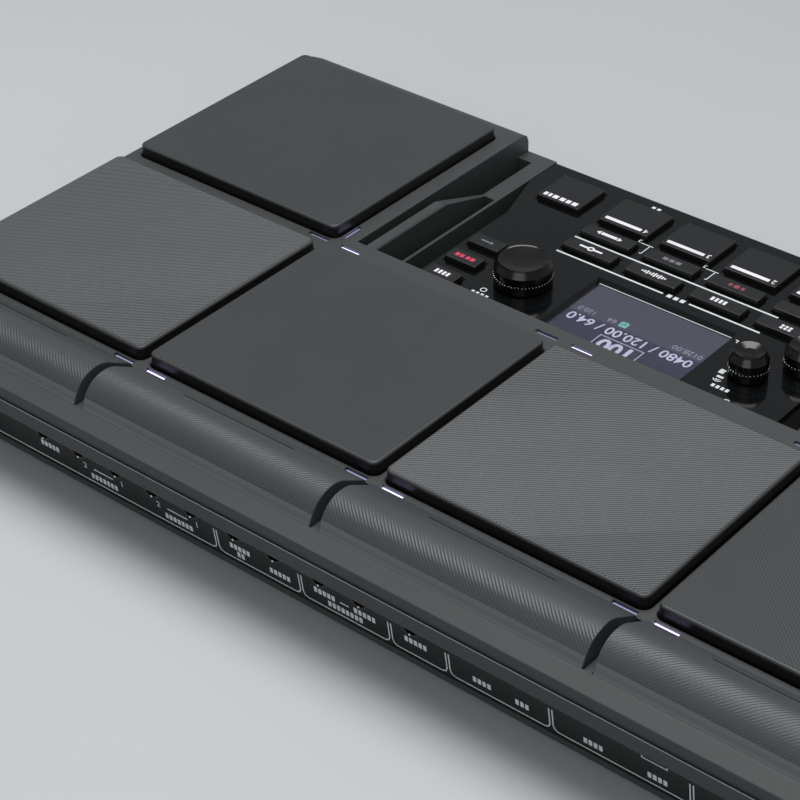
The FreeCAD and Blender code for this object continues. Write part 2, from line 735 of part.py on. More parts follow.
def flare(cx, cy, width, depth, rise):
    """A bevelled mouth for an opening: its walls lean outwards by rise over the same height."""
    rings = []
    for grow, z in ((0, deck_z - rise), (2 * rise, deck_z)):
        x, y = (width + grow) / 2, (depth + grow) / 2
        corners = [(cx - x, cy - y), (cx + x, cy - y), (cx + x, cy + y), (cx - x, cy + y), (cx - x, cy - y)]
        rings.append(Part.makePolygon([FreeCAD.Vector(*corner, z) for corner in corners]))
    return Part.makeLoft(rings, True, True)


def control_deck():
    body = prism_z(deck_outline(0), deck_low, deck_z)
    edge = [e for e in edges_at(body, deck_z) if e.BoundBox.YMax < front_y + 1e-6]
    body = body.makeFillet(1.4, edge)
    holes = [round_block(x, y, w + 2 * button_clear, d + 2 * button_clear, deck_low - 1, deck_z + 1,
                         button_corner + button_clear) for x, y, w, d in buttons.values()]
    holes += [rod(x, y, bushing_radius + 0.1, deck_low - 1, deck_z + 1) for x, y, r, size in knobs.values()]
    mouths = [flare(x, y, w + 2 * button_clear, d + 2 * button_clear, button_bevel)
              for x, y, w, d in buttons.values()]
    seat = display_drop
    bevel = display_bevel
    rings = []
    for side, rear, z in ((bevel, 0.6, deck_z), (0, 0, deck_z - seat)):
        x0, x1, y0, y1 = display_x0 - side, display_x1 + side, display_y0 - side, display_y1 + rear
        corners = [(x0, y0), (x1, y0), (x1, y1), (x0, y1), (x0, y0)]
        rings.append(Part.makePolygon([FreeCAD.Vector(x, y, z) for x, y in corners]))
    body = body.cut(Part.makeLoft(rings, True, True))
    body = body.cut(box(display_x0, display_x1, display_y0, display_y1, deck_low - 1, deck_z - seat + 0.1))
    body = body.cut(Part.makeCompound(holes)).cut(Part.makeCompound(mouths))
    posts = [rod(x, y, post_radius, board_z + board_thick, deck_low) for x, y in post_places]
    return body.multiFuse(posts).removeSplitter()


def display_window():
    top = deck_z - display_drop
    low = top - window_thick
    return box(display_x0 + fit, display_x1 - fit, display_y0 + fit, display_y1 - fit, low, top)


def lcd_module():
    x0, x1 = display_x0 - lcd_border, display_x1 + lcd_border
    return box(x0, x1, display_y0 - lcd_border, display_y1 + lcd_border, deck_low - lcd_thick, deck_low)


def deck_board():
    """The board under the deck, with a push switch below every button."""
    side = deck_width / 2 - 3.3
    body = box(-side, side, front_y + 6.4, deck_back_y - 5.7, board_z, board_z + board_thick)
    top = board_z + board_thick
    switches = [block(place[0], place[1], switch_size, switch_size, top, top + switch_height)
                for place in buttons.values()]
    notches = [rod(x, y, deck_boss_radius + 0.6, board_z - 1, top + 1) for x, y in deck_bosses]
    return fuse([body] + switches).cut(Part.makeCompound(notches))


bushing_top = deck_z + 0.3
shaft_base = board_z + board_thick + 1.0


def rotary_control(x, y, size):
    """The encoder or potentiometer between board and deck; its bushing passes through the deck."""
    body = block(x, y, size, size, board_z + board_thick, deck_low)
    bushing = rod(x, y, bushing_radius, deck_low - 1.0, bushing_top)
    return fuse([body, bushing]).cut(rod(x, y, shaft_radius + shaft_clear, shaft_base - 0.4, bushing_top + 1))


def control_shaft(x, y):
    return rod(x, y, shaft_radius, shaft_base, knob_top_z - 2.6)


knurl_top = 5.2
knurl_depth = 0.35
knurl_pitch = 1.4


def knob(x, y, radius):
    """A cap with a knurled skirt, a smooth shoulder and a dished top."""
    low = deck_z + knob_clear
    shoulder = knob_top_z - 2.6
    dish = radius - 1.9
    profile = [(0, low), (radius, low), (radius, shoulder), (radius - 1.3, knob_top_z - 0.5),
               (radius - 1.5, knob_top_z), (dish, knob_top_z - 0.2), (dish * 0.55, knob_top_z - 0.9),
               (0, knob_top_z - 1.1)]
    body = revolve(profile, x, y)
    count = int(2 * math.pi * radius / knurl_pitch)
    notches = []
    for i in range(count):
        angle = 2 * math.pi * i / count
        cx, cy = x + radius * math.cos(angle), y + radius * math.sin(angle)
        notch = block(0, 0, 2 * knurl_depth, knurl_pitch * 0.42, low - 1, deck_z + knurl_top)
        notch.rotate(FreeCAD.Vector(0, 0, 0), FreeCAD.Vector(0, 0, 1), math.degrees(angle))
        notch.translate(FreeCAD.Vector(cx, cy, 0))
        notches.append(notch)
    body = body.cut(Part.makeCompound(notches))
    return body.cut(rod(x, y, shaft_radius, low - 1, knob_top_z - 2.6))


main_board_half = 88.0
main_board_depth = 68.0
main_board_lift = 11.0
main_board_leg = 3.0
main_board_corner = 8.0
chip_size = 27.0
chip_height = 2.2
memory_size = (14.0, 20.0)
memory_height = 1.4


def main_board():
    """The sound board on its legs, with its processor, memory and connectors."""
    z = floor_z + main_board_lift
    back, front = pad_back_y - 1.0, pad_back_y - 1.0 - main_board_depth
    middle = (back + front) / 2
    body = box(-main_board_half, main_board_half, front, back, z, z + board_thick)
    top = z + board_thick
    parts_up = [block(-30, middle, chip_size, chip_size, top, top + chip_height)]
    parts_up += [block(10, middle + side * 12, *memory_size, top, top + memory_height) for side in (-1, 1)]
    parts_up += [block(60, back - 16, 30, 8, top, top + 6), block(-70, front + 12, 12, 12, top, top + 5)]
    legs = [rod(sx * (main_board_half - main_board_corner), y, main_board_leg, floor_z, z)
            for sx in (-1, 1) for y in (front + main_board_leg * 2, back - main_board_leg * 2)]
    return fuse([body] + parts_up + legs)


def build():
    save("case_bottom", case_bottom())
    save("case_top", case_top())
    save("chassis_plate", chassis_plate())
    save("case_screws", case_screws())
    save("stand_inserts", stand_inserts())
    save("feet", feet())
    for index, (x, y, depth) in enumerate(pads, 1):
        save("drum_pad_%d" % index, drum_pad(x, y, depth))
    save("pad_plates", pad_plates())
    save("sensor_cushions", sensor_cushions())
    for index, x in enumerate(column_x, 1):
        save("bar_pad_%d" % index, bar_pad(x))
    save("light_guide_rear", light_guide(rear_rail_y))
    save("light_guide_front", light_guide(slot_y_front))
    save("jack_panel", jack_panel())
    save("output_jacks", jack_bank(output_x))
    save("input_jacks", jack_bank(input_x))
    save("trigger_jacks", jack_bank(trigger_x))
    save("midi_jacks", midi_jacks())
    save("usb_sockets", usb_sockets())
    save("dc_inlet", dc_inlet())
    save("power_button", power_button())
    save("jack_board", jack_board())
    save("control_deck", control_deck())
    save("display_window", display_window())
    save("lcd_module", lcd_module())
    save("deck_board", deck_board())
    save("main_board", main_board())
    for name, size in buttons.items():
        save(name, button(*size))
    for name, (x, y, radius, size) in knobs.items():
        save(name + "_knob", knob(x, y, radius))
        save(name + "_shaft", control_shaft(x, y))
        save(name + "_control", rotary_control(x, y, size))


build()
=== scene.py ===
import math

import bmesh
import bpy
from mathutils import Matrix, Vector


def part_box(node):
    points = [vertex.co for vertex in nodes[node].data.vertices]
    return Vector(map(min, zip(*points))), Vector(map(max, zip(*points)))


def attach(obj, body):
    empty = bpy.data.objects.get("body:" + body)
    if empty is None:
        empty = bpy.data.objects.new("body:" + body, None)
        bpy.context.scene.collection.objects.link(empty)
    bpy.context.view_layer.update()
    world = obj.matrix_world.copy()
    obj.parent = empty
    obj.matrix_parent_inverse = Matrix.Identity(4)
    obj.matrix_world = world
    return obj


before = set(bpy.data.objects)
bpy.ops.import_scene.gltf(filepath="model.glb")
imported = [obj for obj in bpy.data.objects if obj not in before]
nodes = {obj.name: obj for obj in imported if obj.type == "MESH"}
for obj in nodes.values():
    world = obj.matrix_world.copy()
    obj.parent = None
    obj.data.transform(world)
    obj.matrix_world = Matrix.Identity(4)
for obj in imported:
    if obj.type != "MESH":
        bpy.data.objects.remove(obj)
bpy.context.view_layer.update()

bl_info = {
    "name": "Sampling Drum Pad",
    "version": (1, 0, 0),
    "blender": (4, 5, 0),
    "location": "3D View > Sidebar > Drum Pad",
    "description": "Ribbed pads, printed marks, lit display and finishes round the packed drum pad",
    "category": "Object",
}

MM = 0.001
# Vertices closer than this are one, in metres
WELD = 1e-7
# How deep a ribbed skin reaches under its valleys
RIB_BASE = 0.2 * MM

# Places that the marks share with the case, in millimetres
DECK_Z = 28.5
COLUMN_PITCH = 96.0
PANEL_LEAN = math.radians(8.0)
LARGE_SOCKETS = (112.6, 96.8, 80.7, 65.0, 48.8, 31.3, 15.5, -2.2, -17.5, -36.4)
MIDI_SOCKETS = (-60.0, -74.0)
SOCKET_LEVEL = 20.3


def colour(code):
    """A linear colour from an sRGB hex value."""
    parts = [int(code[i:i + 2], 16) / 255 for i in (1, 3, 5)]
    return tuple(c / 12.92 if c <= 0.04045 else ((c + 0.055) / 1.055) ** 2.4 for c in parts) + (1.0,)


def add(tree, kind, inputs=None, **settings):
    """A node of the tree with its settings. An input takes a value or another node's output."""
    made = tree.nodes.new(kind)
    for name, value in settings.items():
        setattr(made, name, value)
    for name, value in (inputs or {}).items():
        if isinstance(value, bpy.types.NodeSocket):
            tree.links.new(value, made.inputs[name])
        else:
            made.inputs[name].default_value = value
    return made


# Settings that a user would change


def colour_setting(name, description, code):
    return bpy.props.FloatVectorProperty(
        name=name, description=description, default=colour(code)[:3], size=3, subtype="COLOR")


def length_setting(name, description, millimetres):
    return bpy.props.FloatProperty(
        name=name, description=description, default=millimetres * MM, unit="LENGTH", precision=5)


class PadSettings(bpy.types.PropertyGroup):
    rib_pitch: length_setting("Rib pitch", "Distance between the ribs of the pads and bars", 0.91)
    rib_rise: length_setting("Rib rise", "Height of a rib over its valley", 0.12)
    rib_angle: bpy.props.FloatProperty(
        name="Rib angle", description="Slant of the ribs across a pad", default=math.radians(42.5),
        subtype="ANGLE", unit="ROTATION")
    rubber: colour_setting("Rubber", "Colour of the pads and bars", "#3A3C3E")


class PrintSettings(bpy.types.PropertyGroup):
    ink: colour_setting("Ink", "Colour of the printed lines and marks", "#D6DADB")
    line: length_setting("Line width", "Width of the printed lines", 0.75)
    film: length_setting("Ink thickness", "Height of the ink over the plastic", 0.03)


class LightSettings(bpy.types.PropertyGroup):
    slot: colour_setting("Slot light", "Colour of the light slots", "#CBC6F6")
    slot_power: bpy.props.FloatProperty(
        name="Slot power", description="Strength of the bright slots", default=3.2, min=0)
    screen: colour_setting("Screen", "Ground colour of the display", "#484857")


class StageSettings(bpy.types.PropertyGroup):
    floor: colour_setting("Floor", "Colour of the table", "#BFC2C5")
    key_power: bpy.props.FloatProperty(
        name="Key light", description="Power of the large soft lamp", default=26.0, min=0, unit="POWER")
    fill_power: bpy.props.FloatProperty(
        name="Fill light", description="Power of the soft lamp behind the socket side", default=4.0, min=0,
        unit="POWER")
    lens: bpy.props.FloatProperty(
        name="Lens", description="Focal length of the camera on a 36 mm frame", default=106.616, min=20,
        unit="CAMERA")


# Materials


def blank_material(name):
    """A new material, its empty tree, and the place on the object."""
    material = bpy.data.materials.new(name)
    material.use_nodes = True
    tree = material.node_tree
    tree.nodes.clear()
    return material, tree, add(tree, "ShaderNodeTexCoord").outputs["Object"]


def noise(tree, place, size, detail):
    """A noise from 0 to 1 with patches of about this size in millimetres."""
    return add(tree, "ShaderNodeTexNoise", {
        "Vector": place, "Scale": 1 / (size * MM), "Detail": detail}).outputs["Fac"]


def spread(tree, value, low, high):
    """A value from 0 to 1, spread from low to high."""
    return add(tree, "ShaderNodeMapRange", {"Value": value, "To Min": low, "To Max": high}).outputs[0]


def calc(tree, kind, a, b=0.0):
    return add(tree, "ShaderNodeMath", {0: a, 1: b}, operation=kind).outputs[0]


def parts_of(tree, vector):
    return add(tree, "ShaderNodeSeparateXYZ", {0: vector}).outputs


def shader_of(tree, inputs):
    """The one shader of a material, led to its output."""
    shader = add(tree, "ShaderNodeBsdfPrincipled", inputs)
    add(tree, "ShaderNodeOutputMaterial", {"Surface": shader.outputs[0]})
    return shader


def finish(name, code, roughness, grain=0.3, depth=0.002, cloud=0.05, patch=14.0, **sockets):
    """A moulded or plated surface. grain and patch are sizes in millimetres, depth is the relief's height.

    The fine grain goes to the bump, the slow patches to the colour and the gloss.
    """
    if name in bpy.data.materials:
        return bpy.data.materials[name]
    material, tree, place = blank_material(name)
    slow = noise(tree, place, patch, 4.0)
    base = colour(code) if isinstance(code, str) else tuple(code)
    low = tuple(c * (1 - cloud) for c in base[:3]) + (1.0,)
    high = tuple(min(1.0, c * (1 + cloud)) for c in base[:3]) + (1.0,)
    tint = add(tree, "ShaderNodeMix", {0: slow, 6: low, 7: high}, data_type="RGBA")
    relief = add(tree, "ShaderNodeBump", {
        "Height": noise(tree, place, grain, 2.0), "Distance": depth * MM, "Strength": 1.0})
    shader = shader_of(tree, {
        "Base Color": tint.outputs[2], "Normal": relief.outputs["Normal"],
        "Roughness": spread(tree, slow, max(0.0, roughness * 0.9), min(1.0, roughness * 1.1))})
    for key, value in sockets.items():
        shader.inputs[key.replace("_", " ")].default_value = value
    return material


def lit(name, code, power, edge=0.12):
    """A backlit film: its own light, a little uneven, under a thin gloss."""
    material, tree, place = blank_material(name)
    drift = noise(tree, place, 6.0, 1.0)
    shader_of(tree, {
        "Base Color": (0.01, 0.01, 0.012, 1.0), "Roughness": 0.35,
        "Emission Color": colour(code) if isinstance(code, str) else tuple(code) + (1.0,),
        "Emission Strength": spread(tree, drift, power * (1 - edge), power * (1 + edge))})
    return material


# Geometry helpers


def placed(name, data):
    """A new object in the scene."""
    made = bpy.data.objects.new(name, data)
    bpy.context.scene.collection.objects.link(made)
    return made


def evaluated_mesh(carrier):
    """The plain mesh that an object shows."""
    bpy.context.view_layer.update()
    return bpy.data.meshes.new_from_object(carrier.evaluated_get(bpy.context.evaluated_depsgraph_get()))


def mesh_of(made, name):
    """The mesh of a bmesh, which is freed."""
    mesh = bpy.data.meshes.new(name)
    made.to_mesh(mesh)
    made.free()
    return mesh


def piece(name, mesh, material, body="case"):
    """A finished piece at the origin, riding on a body."""
    made = placed(name, mesh)
    if material is not None:
        mesh.materials.clear()
        mesh.materials.append(material)
    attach(made, body)
    return made


def slab_mesh(name, outlines, low, high):
    """Flat shapes in millimetres, raised from low to high. Each outline goes round anticlockwise."""
    made = bmesh.new()
    for outline in outlines:
        bottom = [made.verts.new((x * MM, y * MM, low * MM)) for x, y in outline]
        top = [made.verts.new((x * MM, y * MM, high * MM)) for x, y in outline]
        made.faces.new(top)
        made.faces.new(bottom[::-1])
        for i in range(len(outline)):
            j = (i + 1) % len(outline)
            made.faces.new((bottom[i], bottom[j], top[j], top[i]))
    return mesh_of(made, name)


def bar(x0, x1, y0, y1):
    return [(x0, y0), (x1, y0), (x1, y1), (x0, y1)]


def round_bar(x0, x1, y0, y1, radius, steps=4):
    """A rectangle with rounded corners."""
    radius = min(radius, (x1 - x0) / 2, (y1 - y0) / 2)
    points = []
    corners = ((x1 - radius, y1 - radius, 0), (x0 + radius, y1 - radius, 90),
               (x0 + radius, y0 + radius, 180), (x1 - radius, y0 + radius, 270))
    for cx, cy, start in corners:
        for i in range(steps + 1):
            angle = math.radians(start + 90 * i / steps)
            points.append((cx + radius * math.cos(angle), cy + radius * math.sin(angle)))
    return points


def ring(cx, cy, outer, inner, start=0.0, end=360.0, steps=24):
    """An arc of a flat ring as one outline, or a whole ring as two halves."""
    if end - start >= 360.0:
        half = (start + end) / 2
        halves = ((start, half), (half, end))
        return [line for a, b in halves for line in ring(cx, cy, outer, inner, a, b, steps // 2)]
    angles = [math.radians(start + (end - start) * i / steps) for i in range(steps + 1)]
    return [[(cx + outer * math.cos(a), cy + outer * math.sin(a)) for a in angles]
            + [(cx + inner * math.cos(a), cy + inner * math.sin(a)) for a in angles[::-1]]]


def path(points, width):
    """A line of even width through the points, as one closed outline with mitred corners."""
    left, right = [], []
    for i, (x, y) in enumerate(points):
        before = points[max(i - 1, 0)]
        after = points[min(i + 1, len(points) - 1)]
        a = Vector((x - before[0], y - before[1]))
        b = Vector((after[0] - x, after[1] - y))
        a = a.normalized() if a.length else b.normalized()
        b = b.normalized() if b.length else a
        middle = (a + b).normalized()
        side = Vector((-middle.y, middle.x)) * (width / 2 / max(0.3, middle.dot(a)))
        left.append((x + side.x, y + side.y))
        right.append((x - side.x, y - side.y))
    return right + left[::-1]


def outline_box(x0, x1, y0, y1, width):
    """A rectangular frame line, as four pieces."""
    return [bar(x0, x1, y0, y0 + width), bar(x0, x1, y1 - width, y1),
            bar(x0, x0 + width, y0 + width, y1 - width), bar(x1 - width, x1, y0 + width, y1 - width)]


def numeral_mesh(text, x, y, height, low, high, centre=False, bold=0.0):
    """Plain numerals, as a mesh whose lower left corner is at x, y."""
    curve = bpy.data.curves.new("numeral", "FONT")
    curve.body = text
    curve.size = 1.0
    curve.extrude = 0.5
    curve.offset = bold
    curve.resolution_u = 3
    if centre:
        curve.align_x = "CENTER"
    carrier = placed("numeral", curve)
    mesh = evaluated_mesh(carrier)
    bpy.data.objects.remove(carrier)
    bpy.data.curves.remove(curve)
    whole = bmesh.new()
    whole.from_mesh(mesh)
    bmesh.ops.remove_doubles(whole, verts=whole.verts, dist=1e-6)
    whole.to_mesh(mesh)
    whole.free()
    # The font's numerals are this tall at size 1
    tall = 0.7
    scale = height / tall * MM
    mesh.transform(Matrix.Diagonal((scale, scale, (high - low) * MM, 1.0)))
    mesh.transform(Matrix.Translation((x * MM, y * MM, (high + low) / 2 * MM)))
    return mesh


def ribbon_mesh(name, points, x0, x1, sunk, proud):
    """A thin closed skin from x0 to x1 over a line of (y, z) points, all in metres."""
    made = bmesh.new()
    rows = []
    for i, (y, z) in enumerate(points):
        before, after = points[max(i - 1, 0)], points[min(i + 1, len(points) - 1)]
        along = Vector((after[0] - before[0], after[1] - before[1])).normalized()
        out = Vector((-along.y, along.x))
        rows.append([made.verts.new((x, y + out.x * lift, z + out.y * lift))
                     for x, lift in ((x0, -sunk), (x1, -sunk), (x1, proud), (x0, proud))])
    for a, b in zip(rows, rows[1:]):
        for i in range(4):
            made.faces.new((a[i], a[(i + 1) % 4], b[(i + 1) % 4], b[i]))
    made.faces.new(rows[0][::-1])
    made.faces.new(rows[-1])
    bmesh.ops.recalc_face_normals(made, faces=made.faces)
    mesh = mesh_of(made, name)
    for polygon in mesh.polygons:
        polygon.use_smooth = True
    mesh.set_sharp_from_angle(angle=math.radians(30))
    return mesh


def joined(name, meshes):
    """One mesh from several closed ones."""
    made = bmesh.new()
    for mesh in meshes:
        made.from_mesh(mesh)
        bpy.data.meshes.remove(mesh)
    return mesh_of(made, name)


def box_mm(node):
    """The corners of a CAD node in millimetres."""
    low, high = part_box(node)
    return low / MM, high / MM


# The ribbed skin of pads and bars, as a Geometry Nodes tree


def geo(tree, kind, inputs=None, **settings):
    """The first output of a new Geometry Nodes node."""
    return add(tree, "GeometryNode" + kind, inputs, **settings).outputs[0]


def xyz(tree, parts):
    """A vector from some of its parts, by index."""
    return add(tree, "ShaderNodeCombineXYZ", parts).outputs[0]


def joined_nodes(tree, *parts):
    made = add(tree, "GeometryNodeJoinGeometry")
    for part in parts:
        tree.links.new(part, made.inputs[0])
    return made.outputs[0]


def new_group(name, result, **ports):
    """A Geometry Nodes tree with its input sockets by kind, and what they give."""
    tree = bpy.data.node_groups.new(name, "GeometryNodeTree")
    for kind, names in ports.items():
        for port in names:
            tree.interface.new_socket(port, in_out="INPUT", socket_type="NodeSocket" + kind)
    tree.interface.new_socket(result, in_out="OUTPUT", socket_type="NodeSocketGeometry")
    return tree, add(tree, "NodeGroupInput").outputs


def rib_tree():
    """Straight ribs at an angle across a flat outline, wrapped over a profile line.

    The outline is drawn unrolled: X along the pad, Y along the profile. The profile is a curve
    in the Y-Z plane, and a rib's height is measured square to it.
    """
    if "Ribbed skin" in bpy.data.node_groups:
        return bpy.data.node_groups["Ribbed skin"]
    tree, given = new_group(
        "Ribbed skin", "Skin", Geometry=["Outline"],
        Float=["Pitch", "Rise", "Base", "Angle", "Reach", "Step", "Centre X", "Centre Y"],
        Object=["Profile"], Material=["Finish"])

    # A flat grid with four rows of faces to a rib
    across = calc(tree, "MULTIPLY", calc(tree, "DIVIDE", given["Reach"], given["Pitch"]), 4.0)
    along = calc(tree, "ADD", calc(tree, "DIVIDE", given["Reach"], given["Step"]), 1.0)
    sheet = geo(tree, "MeshGrid", {
        "Size X": given["Reach"], "Size Y": given["Reach"], "Vertices X": along, "Vertices Y": across})
    down = xyz(tree, {2: calc(tree, "MULTIPLY", given["Base"], -1.0)})
    floor = geo(tree, "Transform", {"Geometry": sheet, "Translation": down})
    raised = geo(tree, "ExtrudeMesh", {
        "Mesh": floor, "Offset Scale": given["Base"], "Individual": False}, mode="FACES")
    place = parts_of(tree, geo(tree, "InputPosition"))
    phase = calc(tree, "MULTIPLY", calc(tree, "DIVIDE", place[1], given["Pitch"]), 2 * math.pi)
    wave = calc(tree, "MULTIPLY", calc(tree, "ADD", calc(tree, "COSINE", phase), 1.0), 0.5)
    lift = xyz(tree, {2: calc(tree, "MULTIPLY", wave, given["Rise"])})
    on_top = calc(tree, "GREATER_THAN", place[2], calc(tree, "MULTIPLY", given["Base"], -0.5))
    ribbed = geo(tree, "SetPosition", {"Geometry": raised, "Selection": on_top, "Offset": lift})
    under = geo(tree, "FlipFaces", {"Mesh": floor})
    whole = geo(tree, "MergeByDistance", {"Geometry": joined_nodes(tree, ribbed, under), "Distance": WELD})
    turned = geo(tree, "Transform", {
        "Geometry": whole, "Rotation": xyz(tree, {2: given["Angle"]}),
        "Translation": xyz(tree, {0: given["Centre X"], 1: given["Centre Y"]})})

    # The outline as an upright prism, and what both have in common
    low_face = geo(tree, "Transform", {
        "Geometry": given["Outline"],
        "Translation": xyz(tree, {2: calc(tree, "MULTIPLY", given["Base"], -3.0)})})
    prism_top = geo(tree, "ExtrudeMesh", {
        "Mesh": low_face, "Offset Scale": calc(tree, "MULTIPLY", given["Base"], 12.0),
        "Individual": False}, mode="FACES")
    prism_low = geo(tree, "FlipFaces", {"Mesh": low_face})
    prism = geo(tree, "MergeByDistance", {
        "Geometry": joined_nodes(tree, prism_top, prism_low), "Distance": WELD})
    shared = add(tree, "GeometryNodeMeshBoolean", operation="INTERSECT", solver="EXACT")
    for part in (prism, turned):
        tree.links.new(part, shared.inputs["Mesh 2"])

    # Wrapped over the profile
    shape = add(tree, "GeometryNodeObjectInfo", {"Object": given["Profile"]})
    flat = parts_of(tree, geo(tree, "InputPosition"))
    spot = add(tree, "GeometryNodeSampleCurve", {
        "Curves": shape.outputs["Geometry"], "Length": flat[1]}, mode="LENGTH", use_all_curves=True)
    tangent = parts_of(tree, spot.outputs["Tangent"])
    square = xyz(tree, {1: calc(tree, "MULTIPLY", tangent[2], -1.0), 2: tangent[1]})
    proud = add(tree, "ShaderNodeVectorMath", {0: square, "Scale": flat[2]}, operation="SCALE")
    moved = add(tree, "ShaderNodeVectorMath", {
        0: spot.outputs["Position"], 1: proud.outputs[0]}, operation="ADD")
    final = add(tree, "ShaderNodeVectorMath", {
        0: moved.outputs[0], 1: xyz(tree, {0: flat[0]})}, operation="ADD")
    wrapped = geo(tree, "SetPosition", {"Geometry": shared.outputs["Mesh"], "Position": final.outputs[0]})
    # A rib keeps its crest and valley sharp, the profile line stays smooth
    soft = calc(tree, "LESS_THAN", geo(tree, "InputMeshEdgeAngle"), math.radians(15))
    faces_smooth = geo(tree, "SetShadeSmooth", {"Geometry": wrapped}, domain="FACE")
    shaded = geo(tree, "SetShadeSmooth", {"Geometry": faces_smooth, "Shade Smooth": soft}, domain="EDGE")
    real = geo(tree, "RealizeInstances", {"Geometry": shaded})
    add(tree, "NodeGroupOutput", {
        "Skin": geo(tree, "SetMaterial", {"Geometry": real, "Material": given["Finish"]})})
    return tree


def baked(name, carrier, tree, values, helpers=()):
    """The plain mesh that a tree makes on the carrier's mesh."""
    host = placed(name + "_host", carrier)
    modifier = host.modifiers.new(name, "NODES")
    modifier.node_group = tree
    ids = {item.name: item.identifier for item in tree.interface.items_tree if item.item_type == "SOCKET"}
    for key, value in values.items():
        modifier[ids[key]] = value
    mesh = evaluated_mesh(host)
    mesh.name = name
    host.modifiers.clear()
    bpy.data.objects.remove(host)
    for helper in helpers:
        bpy.data.objects.remove(helper)
    return mesh


def profile_curve(name, points):
    """An open line in the Y-Z plane, in metres."""
    curve = bpy.data.curves.new(name, "CURVE")
    curve.dimensions = "3D"
    line = curve.splines.new("POLY")
    line.points.add(len(points) - 1)
    for point, (y, z) in zip(line.points, points):
        point.co = (0.0, y, z, 1.0)
    return placed(name, curve)


def outline_mesh(name, outlines):
    made = bmesh.new()
    for outline in outlines:
        made.faces.new([made.verts.new((x, y, 0.0)) for x, y in outline])
    bmesh.ops.remove_doubles(made, verts=made.verts, dist=WELD)
    return mesh_of(made, name)


def bar_rubber(context):
    # The pads' rubber, painted 1.3 times paler: painted light for the brighter sheen on the bars
    painted_light_gain = 1.3
    base = tuple(min(1.0, painted_light_gain * c) for c in context.scene.drumpad_pads.rubber)
    return finish("Silicone rubber bar painted light", base + (1.0,), 0.42, grain=0.35, depth=0.004, cloud=0.05, patch=22.0)


def rubber(context):
    # Moulded silicone: a soft sheen on every rib, and a faint cloudiness
    return finish("Silicone rubber moulded", context.scene.drumpad_pads.rubber, 0.42, grain=0.35, depth=0.004,
                  cloud=0.05, patch=22.0)


# Operators, one for each group of pieces


